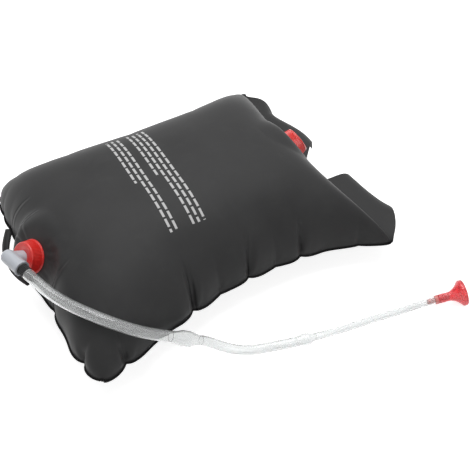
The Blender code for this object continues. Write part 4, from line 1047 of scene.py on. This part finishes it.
def vector_node(tree, operation, first, second):
    """Vector Math node on two values, each a fixed vector or a (node, output) pair."""
    node = tree.nodes.new("ShaderNodeVectorMath")
    node.operation = operation
    for slot_index, value in enumerate((first, second)):
        if isinstance(value[0], (int, float)):
            node.inputs[slot_index].default_value = value
        else:
            tree.links.new(value[0].outputs[value[1]], node.inputs[slot_index])
    return node


def bell_node(tree, value, centre):
    """Bell curve of a value about a centre: e to the minus (value minus centre) squared."""
    offset = math_node(tree, "SUBTRACT", value, centre)
    square = math_node(tree, "MULTIPLY", (offset, "Value"), (offset, "Value"))
    minus = math_node(tree, "MULTIPLY", (square, "Value"), -1.0)
    return math_node(tree, "EXPONENT", (minus, "Value"))


fold, fold_in, fold_out = new_group(
    "fold_line", (("Width", 0.0018), ("Depth", 1.0)), (("Height", "NodeSocketFloat"),)
)
for label in ("Start", "End"):
    fold.interface.new_socket(label, in_out="INPUT", socket_type="NodeSocketVector")
flat = vector_node(fold, "MULTIPLY", (fold_in, "Vector"), (1.0, 1.0, 0.0))
reach = vector_node(fold, "SUBTRACT", (flat, "Vector"), (fold_in, "Start"))
run = vector_node(fold, "SUBTRACT", (fold_in, "End"), (fold_in, "Start"))
run_square = vector_node(fold, "DOT_PRODUCT", (run, "Vector"), (run, "Vector"))
travel = vector_node(fold, "DOT_PRODUCT", (reach, "Vector"), (run, "Vector"))
share = math_node(fold, "DIVIDE", (travel, "Value"), (run_square, "Value"))
turned_side = vector_node(fold, "CROSS_PRODUCT", (reach, "Vector"), (run, "Vector"))
side_parts = fold.nodes.new("ShaderNodeSeparateXYZ")
link(fold, turned_side, "Vector", side_parts, "Vector")
run_length = math_node(fold, "SQRT", (run_square, "Value"))
off_line = math_node(fold, "DIVIDE", (side_parts, "Z"), (run_length, "Value"))
width_share = math_node(fold, "DIVIDE", (off_line, "Value"), (fold_in, "Width"))
valley = bell_node(fold, (width_share, "Value"), 0.0)
shoulder = bell_node(fold, (width_share, "Value"), 1.8)
raised = math_node(fold, "MULTIPLY", (shoulder, "Value"), 0.6)
shape = math_node(fold, "SUBTRACT", (raised, "Value"), (valley, "Value"))
fade_out = ramp(fold, (share, "Value"), 0.2, 1.0, 1.0, 0.0)
fade_in = ramp(fold, (share, "Value"), -0.3, -0.1)
faded = math_node(fold, "MULTIPLY", (fade_out, "Result"), (fade_in, "Result"))
scaled = math_node(fold, "MULTIPLY", (faded, "Value"), (fold_in, "Depth"))
height = math_node(fold, "MULTIPLY", (shape, "Value"), (scaled, "Value"))
link(fold, height, "Value", fold_out, "Height")

all_folds, folds_in, folds_out = new_group("all_folds", (), (("Height", "NodeSocketFloat"),))
total = 0.0
for start, end, width, depth in FOLDS:
    values = {
        "Start": (start[0] * MILLIMETRE, start[1] * MILLIMETRE, 0),
        "End": (end[0] * MILLIMETRE, end[1] * MILLIMETRE, 0),
        "Width": width * MILLIMETRE,
        "Depth": depth,
    }
    node = placed_group(all_folds, fold, (folds_in, "Vector"), values)
    total = (math_node(all_folds, "ADD", total, (node, "Height")), "Value")
link(all_folds, *total, folds_out, "Height")
print("fold lines:", len(FOLDS))

# %% Black PVC material
RIB_SCALE = 300.0
WELD_ROUGHER = 0.12
# Near-black painted shade on the weld flange, standing in for the shadow of its edge
WELD_PAINTED_SHADE = (0.004, 0.004, 0.0042)
INK_WHITE = (0.55, 0.55, 0.55)


def black_pvc(name, is_upper):
    """Matte black cloth: slow drift, pale scuffs, and a rougher, ribbed weld painted near-black as painted
    shade.

    The upper ply also has the sharp folds, as a second bump, and the white bars."""
    material = plastic(
        name, (0.040, 0.040, 0.0405), (0.047, 0.047, 0.0475), (0.08, 0.08, 0.08),
        (0.44, 0.52), 0.22, 1500.0, 0.10, {"IOR": 1.45, "Specular IOR Level": 0.12},
    )
    tree = material.node_tree
    shader = tree.nodes["Principled BSDF"]
    relief = shader.inputs["Normal"].links[0].from_node
    weld = tree.nodes.new("ShaderNodeAttribute")
    weld.attribute_name = "weld"
    place = tree.nodes.new("ShaderNodeTexCoord")
    wave = tree.nodes.new("ShaderNodeTexWave")
    wave.wave_type = "BANDS"
    wave.bands_direction = "DIAGONAL"
    wave.inputs["Scale"].default_value = RIB_SCALE
    link(tree, place, "Object", wave, "Vector")
    ribs = math_node(tree, "MULTIPLY", (wave, "Fac"), (weld, "Fac"))
    height = math_node(tree, "ADD", feed_of(relief.inputs["Height"]), (ribs, "Value"))
    link(tree, height, "Value", relief, "Height")
    rougher = ramp(tree, (weld, "Fac"), 0.0, 1.0, 0.0, WELD_ROUGHER)
    rough = math_node(tree, "ADD", feed_of(shader.inputs["Roughness"]), (rougher, "Result"))
    link(tree, rough, "Value", shader, "Roughness")
    cloth = shader.inputs["Base Color"].links[0].from_socket
    # The weld mask paints the flange near-black: painted shade of its shadowed edge, not the cloth's colour
    colour = mix_colour(tree, weld.outputs["Fac"], cloth, WELD_PAINTED_SHADE)
    if is_upper:
        lines = placed_group(tree, all_folds, (place, "Object"), {})
        folded = tree.nodes.new("ShaderNodeBump")
        folded.inputs["Strength"].default_value = 1.0
        folded.inputs["Distance"].default_value = MILLIMETRE
        link(tree, lines, "Height", folded, "Height")
        link(tree, relief, "Normal", folded, "Normal")
        link(tree, folded, "Normal", shader, "Normal")
        rows = placed_group(tree, printed, (place, "Object"), {})
        colour = mix_colour(tree, rows.outputs["Mask"], colour, INK_WHITE)
    tree.links.new(colour, shader.inputs["Base Color"])
    return material


UPPER_PVC = black_pvc("black_pvc_printed", True)
LOWER_PVC = black_pvc("black_pvc_plain", False)
paint(upper_ply, UPPER_PVC)
paint(lower_ply, LOWER_PVC)
print("black PVC ready")

# %% [markdown]
# ## The strap
# A narrow loop of the same cloth is tucked under the outlet end's weld. It is a band with two raised
# ribs along it, and it twists a little where it stands away from the bag. Its middle line bows out by a
# sine, and its width turns about that line.

# %% Strap
STRAP_WIDTH = 10 * MILLIMETRE
STRAP_THICKNESS = 0.9 * MILLIMETRE
STRAP_STEPS = 120
STRAP_COLUMNS = 17
STRAP_ENDS = (0.105, -0.006)
STRAP_BOW = 19 * MILLIMETRE
STRAP_SAG = 6 * MILLIMETRE
STRAP_TWIST = math.radians(40)
STRAP_RIB = 0.5 * MILLIMETRE


def strap_places():
    """Closed band: middle line plus width times (-1 to 1) plus thickness, with two ribs along it."""
    share = np.linspace(0, 1, STRAP_STEPS + 1)
    y = STRAP_ENDS[0] + (STRAP_ENDS[1] - STRAP_ENDS[0]) * share
    bow = np.sin(math.pi * share**0.9) ** 1.2
    across_sine = y / (EAR_WIDTH / 2)
    x = -outlet_reach(across_sine) - WELD_WIDTH - STRAP_BOW * bow
    drop = WELD_GAP / 2 + PLY + SEAT_GAP + STRAP_THICKNESS
    seam = seam_height(np.full_like(y, -1.0), 2 / math.pi * np.arcsin(across_sine))
    z = seam - drop - STRAP_SAG * bow
    spine = np.stack([x, y, z], axis=-1)
    heading = np.gradient(spine, axis=0)
    heading /= np.linalg.norm(heading, axis=-1, keepdims=True)
    level = np.cross(heading, [0, 0, 1])
    level /= np.linalg.norm(level, axis=-1, keepdims=True)
    twist = STRAP_TWIST * bow[:, None]
    width = level * np.cos(twist) + np.array([0, 0, 1]) * np.sin(twist)
    normal = np.cross(heading, width)
    across = np.linspace(-1, 1, STRAP_COLUMNS)
    rib = STRAP_RIB * hump(np.abs(across) - 0.5, 0.12)
    thickness = STRAP_THICKNESS / 2 * np.sqrt(np.clip(1.02 - across**8, 0.02, 1)) + rib
    middle = spine[:, None] + width[:, None] * (across * STRAP_WIDTH / 2)[None, :, None]
    top = middle + normal[:, None] * thickness[None, :, None]
    bottom = middle - normal[:, None] * thickness[None, :, None]
    loop = np.concatenate([top, bottom[:, ::-1]], axis=1)
    first, last = (ring.mean(axis=1, keepdims=True) + 0 * ring for ring in (loop[:1], loop[-1:]))
    return np.concatenate([first, loop, last])


strap = surface("hanging_strap", strap_places(), closed_columns=True)
paint(strap, LOWER_PVC)
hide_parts("outlet_strap")
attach(strap, "bag")
print("strap of", len(strap.data.polygons), "faces")

# %% [markdown]
# ## The caps
# Both caps are moulded with a plain rim at the base, a skirt of fine upright ribs for the fingers and a
# rounded top edge. The cap is one closed profile turned about the spout's line, and its ribs take a
# little off the radius wherever a cosine of the angle is low, fading out above and below the skirt.

# %% Caps
CAP_RIBS = 72
CAP_RIB_DEPTH = 0.55 * MILLIMETRE
CAP_RIB_FADE = 0.8 * MILLIMETRE
CAP_RIB_RADIUS = 17.6 * MILLIMETRE
SKIRT = (2.0 * MILLIMETRE, 2.2 * MILLIMETRE)
CAP_INSIDE = 15.6 * MILLIMETRE
CAP_WALL = 2.2 * MILLIMETRE
SKIRT_TOP_RADIUS = 18.6e-3
SKIRT_LOW_RADIUS = 21.3e-3
RIM_OUTSIDE = 21.95e-3


def cap_ribs(top):
    """Rib function: radius minus depth times (half minus half cos(ribs times angle)) to the 1.5."""

    def shape(radius, height, angle):
        fade = smooth_step((height - SKIRT[0]) / CAP_RIB_FADE)
        fade = fade * smooth_step((top - SKIRT[1] - height) / CAP_RIB_FADE)
        outside = radius > CAP_RIB_RADIUS
        wave = (0.5 - 0.5 * np.cos(CAP_RIBS * angle)) ** 1.5
        return radius - CAP_RIB_DEPTH * wave * fade * outside

    return shape


def cap_profile(inner_top, hole):
    """Cap's outline from its top face out, down the skirt to the rim, and back up inside."""
    outer_top = inner_top + CAP_WALL
    rim = 1.6 * MILLIMETRE
    skirt = np.linspace(outer_top - 1.4e-3, rim + 0.3e-3, 26)
    widening = (SKIRT_LOW_RADIUS - SKIRT_TOP_RADIUS) * (outer_top - skirt) / (outer_top - rim)
    upper = np.array([
        (hole, outer_top - 0.15e-3),
        (hole + 1.2e-3, outer_top - 0.15e-3),
        (hole + 1.5e-3, outer_top),
        (15.2e-3, outer_top),
        (15.6e-3, outer_top - 0.35e-3),
        (16.2e-3, outer_top - 0.35e-3),
        (16.6e-3, outer_top),
        (17.4e-3, outer_top),
        (18.2e-3, outer_top - 0.3e-3),
        (18.62e-3, outer_top - 0.8e-3),
    ])
    lower = rounded(
        [(SKIRT_LOW_RADIUS, rim + 0.3e-3), (RIM_OUTSIDE, rim), (RIM_OUTSIDE, 0.35e-3),
         (CAP_INSIDE, 0.35e-3), (CAP_INSIDE, inner_top), (hole, inner_top)],
        (0, 0.3e-3, 0.4e-3, 0.4e-3, 0.6e-3, 0), closed=False, steps=4,
    )
    return np.vstack([upper, np.stack([SKIRT_TOP_RADIUS + widening, skirt], axis=-1), lower])


NUT_INNER_TOP = 14.1 * MILLIMETRE
CAP_INNER_TOP = 11.4 * MILLIMETRE
NUT_HOLE = 8.8 * MILLIMETRE
nut = turned(
    "outlet_cap", cap_profile(NUT_INNER_TOP, NUT_HOLE), OUTLET, OUTLET_AXIS, 4 * CAP_RIBS,
    ribs=cap_ribs(NUT_INNER_TOP + CAP_WALL),
)
cap = turned(
    "filler_cap", cap_profile(CAP_INNER_TOP, 0.0), FILLER, FILLER_AXIS, 4 * CAP_RIBS, closed=False,
    ribs=cap_ribs(CAP_INNER_TOP + CAP_WALL),
)
for piece, node, body in ((nut, "outlet_nut", "nut"), (cap, "fill_cap", "cap")):
    paint(piece, RED)
    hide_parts(node)
    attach(piece, body)
print("caps of", len(nut.data.polygons), "and", len(cap.data.polygons), "faces")

# %% [markdown]
# ## The elbow
# The elbow is one moulding of grey see-through plastic. A stub with a flange stands in the outlet cap,
# and a wider arm crosses its end at a right angle. The arm is closed by a rounded dome on one side and
# opens in a rimmed mouth on the other. It is turned in two pieces that are joined and then bored.

# %% Elbow
ARM_LENGTH = 25.5 * MILLIMETRE
arm_profile = rounded(
    [(0, -9.0e-3), (9.1e-3, -9.0e-3), (9.25e-3, 23.9e-3), (10.0e-3, 23.9e-3), (10.0e-3, ARM_LENGTH),
     (0, ARM_LENGTH)],
    (0, 6.5e-3, 0.3e-3, 0.4e-3, 0.5e-3, 0), closed=False, steps=9,
)
elbow = turned("grey_elbow", arm_profile, CORNER, ARM_AXIS, 96, closed=False)
FLANGE_LOW = 11.1 * MILLIMETRE
stub_profile = rounded(
    [(0, 37.0e-3), (8.5e-3, 37.0e-3), (8.5e-3, 12.7e-3), (13.4e-3, 12.7e-3), (13.4e-3, FLANGE_LOW),
     (0, FLANGE_LOW)],
    (0, 0.5e-3, 0.4e-3, 0.3e-3, 0.3e-3, 0), closed=False, steps=4,
)
stub = turned("stub", stub_profile, OUTLET, OUTLET_AXIS, 88, closed=False)
combine(elbow, [stub], "UNION")
combine(elbow, [rod("stub_bore", OUTLET, OUTLET_AXIS, 6.0e-3, 8e-3, 35.5e-3, 72)], "DIFFERENCE")
bore_profile = np.array(
    [(0, 31e-3), (7.9e-3, 31e-3), (7.9e-3, 17.5e-3), (5.7e-3, 17.5e-3), (5.7e-3, -4.5e-3), (0, -4.5e-3)]
)
combine(elbow, [turned("arm_bore", bore_profile, CORNER, ARM_AXIS, 80, closed=False)], "DIFFERENCE")
paint(elbow, ELBOW_GREY)
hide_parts("outlet_elbow")
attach(elbow, "elbow")
print("elbow of", len(elbow.data.polygons), "faces")

# %% [markdown]
# ## The hose tail
# A black fitting plugs into the elbow's mouth. Its collar has coarse ribs to hold it by, and beyond the
# collar a stepped barb goes into the hose, where it shows dark through the clear wall.

# %% Hose tail
TAIL_RIBS = 18
TAIL_RIB_DEPTH = 0.7e-3
TAIL_RIB_FADE = 0.8e-3
COLLAR_LOW = 26.6e-3
COLLAR_HIGH = 36.0e-3
COLLAR_INSIDE = 6.4e-3


def tail_ribs(radius, height, angle):
    """Collar ribs: radius minus 0.7 mm times a squared half cosine, between the collar's two ends."""
    fade = smooth_step((height - COLLAR_LOW) / TAIL_RIB_FADE)
    fade = fade * smooth_step((COLLAR_HIGH - height) / TAIL_RIB_FADE)
    wave = (0.5 - 0.5 * np.cos(TAIL_RIBS * angle)) ** 2
    return radius - TAIL_RIB_DEPTH * wave * fade * (radius > COLLAR_INSIDE)


collar = [(7.4e-3, height) for height in np.linspace(COLLAR_HIGH, 26.8e-3, 12)]
barb = [(3.4e-3, 45.8e-3), (4.8e-3, 45.8e-3), (5.6e-3, 42.8e-3), (5.0e-3, 42.7e-3), (5.6e-3, 39.8e-3),
        (5.0e-3, 39.7e-3), (5.0e-3, 36.8e-3), (6.6e-3, 36.8e-3)]
spigot = [(7.4e-3, 26.0e-3), (6.2e-3, 25.8e-3), (6.2e-3, 17.8e-3), (3.4e-3, 17.8e-3)]
tail_profile = np.array(barb + collar + spigot)
tail = turned("hose_tail", tail_profile, CORNER, ARM_AXIS, 6 * TAIL_RIBS, ribs=tail_ribs)
paint(tail, BLACK_FITTING)
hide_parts("hose_adapter")
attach(tail, "elbow")
print("tail of", len(tail.data.polygons), "faces")

# %% [markdown]
# ## The shower head
# The head is a thin bell of clear red plastic that slides on a stem: pulled out, it opens the water. The
# bell flares like a trumpet to a rounded rim, which holds a domed face with rings of small holes.

# %% Shower head
HEAD_ORIGIN = np.array(HEAD_ENTRY)
NECK_LOW = 4.6 * MILLIMETRE
NECK_HIGH = 17.6 * MILLIMETRE
FLARE_HIGH = 34.0 * MILLIMETRE
RIM_HIGH = 40.1 * MILLIMETRE
RIM_RADIUS = 17.4 * MILLIMETRE
BELL_WALL = 1.4 * MILLIMETRE
NECK_OUTSIDE = 6.0e-3
NECK_INSIDE = 4.5e-3
FLARE_RADIUS = 16.6e-3


def bell_profile():
    """Bell: straight neck, radius = neck + spread times (share of the flare) squared, then a round rim."""
    share = np.linspace(1, 0, 28)
    flare_radius = NECK_OUTSIDE + (FLARE_RADIUS - NECK_OUTSIDE) * share**2
    flare = np.stack([flare_radius, NECK_HIGH + (FLARE_HIGH - NECK_HIGH) * share], axis=-1)
    rim = np.array([
        (16.1e-3, RIM_HIGH), (16.8e-3, RIM_HIGH - 0.2e-3), (17.2e-3, RIM_HIGH - 0.9e-3),
        (RIM_RADIUS, RIM_HIGH - 2.0e-3), (RIM_RADIUS, RIM_HIGH - 4.0e-3), (17.2e-3, RIM_HIGH - 5.2e-3),
    ])
    neck = np.array([
        (NECK_OUTSIDE, 12.2e-3), (6.3e-3, 12.0e-3), (6.3e-3, 10.6e-3), (NECK_OUTSIDE, 10.4e-3),
        (NECK_OUTSIDE, 5.2e-3), (5.7e-3, NECK_LOW), (4.7e-3, NECK_LOW), (NECK_INSIDE, 5.0e-3),
        (NECK_INSIDE, NECK_HIGH),
    ])
    inside = flare[::-1] - np.array([BELL_WALL, -0.2e-3])
    return np.vstack([rim, flare, neck, inside[1:], [(16.0e-3, FLARE_HIGH + 1.0e-3)]])


bell = turned("red_bell", bell_profile(), HEAD_ORIGIN, HEAD_HEADING, 96)
ROSE_RADIUS = 15.7e-3
ROSE_LOW = 38.9e-3
ROSE_DOME = 4.6e-3
DRILL_RADIUS = 0.55e-3
DRILL_SPAN = (34e-3, 47e-3)
dome = np.linspace(0, 1, 14)
rose_top = np.stack([ROSE_RADIUS * dome, ROSE_LOW + ROSE_DOME * (1 - dome**2)], axis=-1)
rose_profile = np.vstack([rose_top, rose_top[::-1] - np.array([0, BELL_WALL])])
rose = turned("spray_face", rose_profile, HEAD_ORIGIN, HEAD_HEADING, 96, closed=False)
HOLE_RINGS = ((0.0, 1), (3.6e-3, 6), (7.2e-3, 12), (10.8e-3, 18))
first, second, third = axes_along(HEAD_HEADING)
drills = []
for ring_radius, count in HOLE_RINGS:
    for hole in range(count):
        turn = math.tau * hole / count
        spot = HEAD_ORIGIN + ring_radius * (math.cos(turn) * first + math.sin(turn) * second)
        drills.append(rod(f"drill_{len(drills)}", spot, third, DRILL_RADIUS, *DRILL_SPAN, 12))
drill_all = bmesh.new()
for drill in drills:
    drill_all.from_mesh(drill.data)
    bpy.data.objects.remove(drill, do_unlink=True)
drill_mesh = bpy.data.meshes.new("drills")
drill_all.to_mesh(drill_mesh)
drill_all.free()
combine(rose, [linked_object("drills", drill_mesh)], "DIFFERENCE")
for piece, node in ((bell, "head_bell"), (rose, "head_rose")):
    paint(piece, RED_CLEAR)
    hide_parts(node)
    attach(piece, "bell")
print("bell and face of", len(bell.data.polygons), "and", len(rose.data.polygons), "faces")

# %% [markdown]
# ## Small hard parts
# The spouts, the stem and the seals keep the frame's own solids, which have the right shape already.
# They only take a finish.

# %% Finishes of the frame's own pieces
for node, material in (
    ("fill_neck", BLACK_FITTING), ("outlet_neck", BLACK_FITTING), ("head_stem", PALE_STEM),
    ("fill_gasket", SEAL), ("outlet_washer", SEAL), ("slip_ring", SEAL), ("adapter_seal", SEAL),
    ("head_seal", SEAL),
):
    paint(frame["nodes"][node], material)
print("frame pieces finished")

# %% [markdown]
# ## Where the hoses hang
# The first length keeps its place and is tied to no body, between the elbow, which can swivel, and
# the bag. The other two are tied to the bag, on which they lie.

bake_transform(hose_1)
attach(hose_2, "bag")
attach(hose_3, "bag")

# %% [markdown]
# ## Floor and light
# The bag lies on a pale floor under wide soft lamps. To the camera, and in gloss and glass, the floor
# glows a little, so that it reads as white, while the light that it throws back on the bag stays plain.

# %% Floor, world and lamps


def camera_ray(tree):
    """1 for rays from the camera, for those that went through clear plastic and for mirrored ones."""
    path = tree.nodes.new("ShaderNodeLightPath")
    direct = math_node(tree, "MAXIMUM", (path, "Is Camera Ray"), (path, "Is Transmission Ray"))
    return math_node(tree, "MAXIMUM", (direct, "Value"), (path, "Is Glossy Ray"))


floor_mesh = bpy.data.meshes.new("floor")
FLOOR_REACH = 4.0
FLOOR_GLOW = 0.8
SKY_ON_BAG = 0.31
SKY_SEEN = 1.0
floor_mesh.from_pydata(
    [(-FLOOR_REACH, -FLOOR_REACH, 0), (FLOOR_REACH, -FLOOR_REACH, 0), (FLOOR_REACH, FLOOR_REACH, 0),
     (-FLOOR_REACH, FLOOR_REACH, 0)],
    [], [(0, 1, 2, 3)],
)
floor = linked_object("floor", floor_mesh)
floor_material = bpy.data.materials.new("pale_floor")
floor_material.use_nodes = True
tree = floor_material.node_tree
shader = tree.nodes["Principled BSDF"]
shader.inputs["Base Color"].default_value = (0.8, 0.8, 0.8, 1)
shader.inputs["Roughness"].default_value = 0.9
shader.inputs["Specular IOR Level"].default_value = 0.0
shader.inputs["Emission Color"].default_value = (1, 1, 1, 1)
glow = math_node(tree, "MULTIPLY", (camera_ray(tree), "Value"), FLOOR_GLOW)
link(tree, glow, "Value", shader, "Emission Strength")
floor_mesh.materials.append(floor_material)

world = bpy.data.worlds.new("studio")
scene.world = world
world.use_nodes = True
tree = world.node_tree
background = tree.nodes["Background"]
background.inputs["Color"].default_value = (1, 1, 1, 1)
level = ramp(tree, (camera_ray(tree), "Value"), 0.0, 1.0, SKY_ON_BAG, SKY_SEEN)
link(tree, level, "Result", background, "Strength")


def lamp(name, place, aim, size, power):
    """Square area lamp at a place, turned towards an aim."""
    light = bpy.data.lights.new(name, "AREA")
    light.size = size
    light.energy = power
    item = linked_object(name, light)
    item.location = place
    item.rotation_euler = (Vector(aim) - Vector(place)).to_track_quat("-Z", "Y").to_euler()


lamp("top_lamp", (0.08, 0.35, 1.5), (0, 0, 0.05), 1.4, 18)
lamp("side_lamp", (0.1, -1.3, 0.9), (0.05, -0.1, 0.05), 0.8, 1.8)
scene.view_settings.view_transform = "Standard"
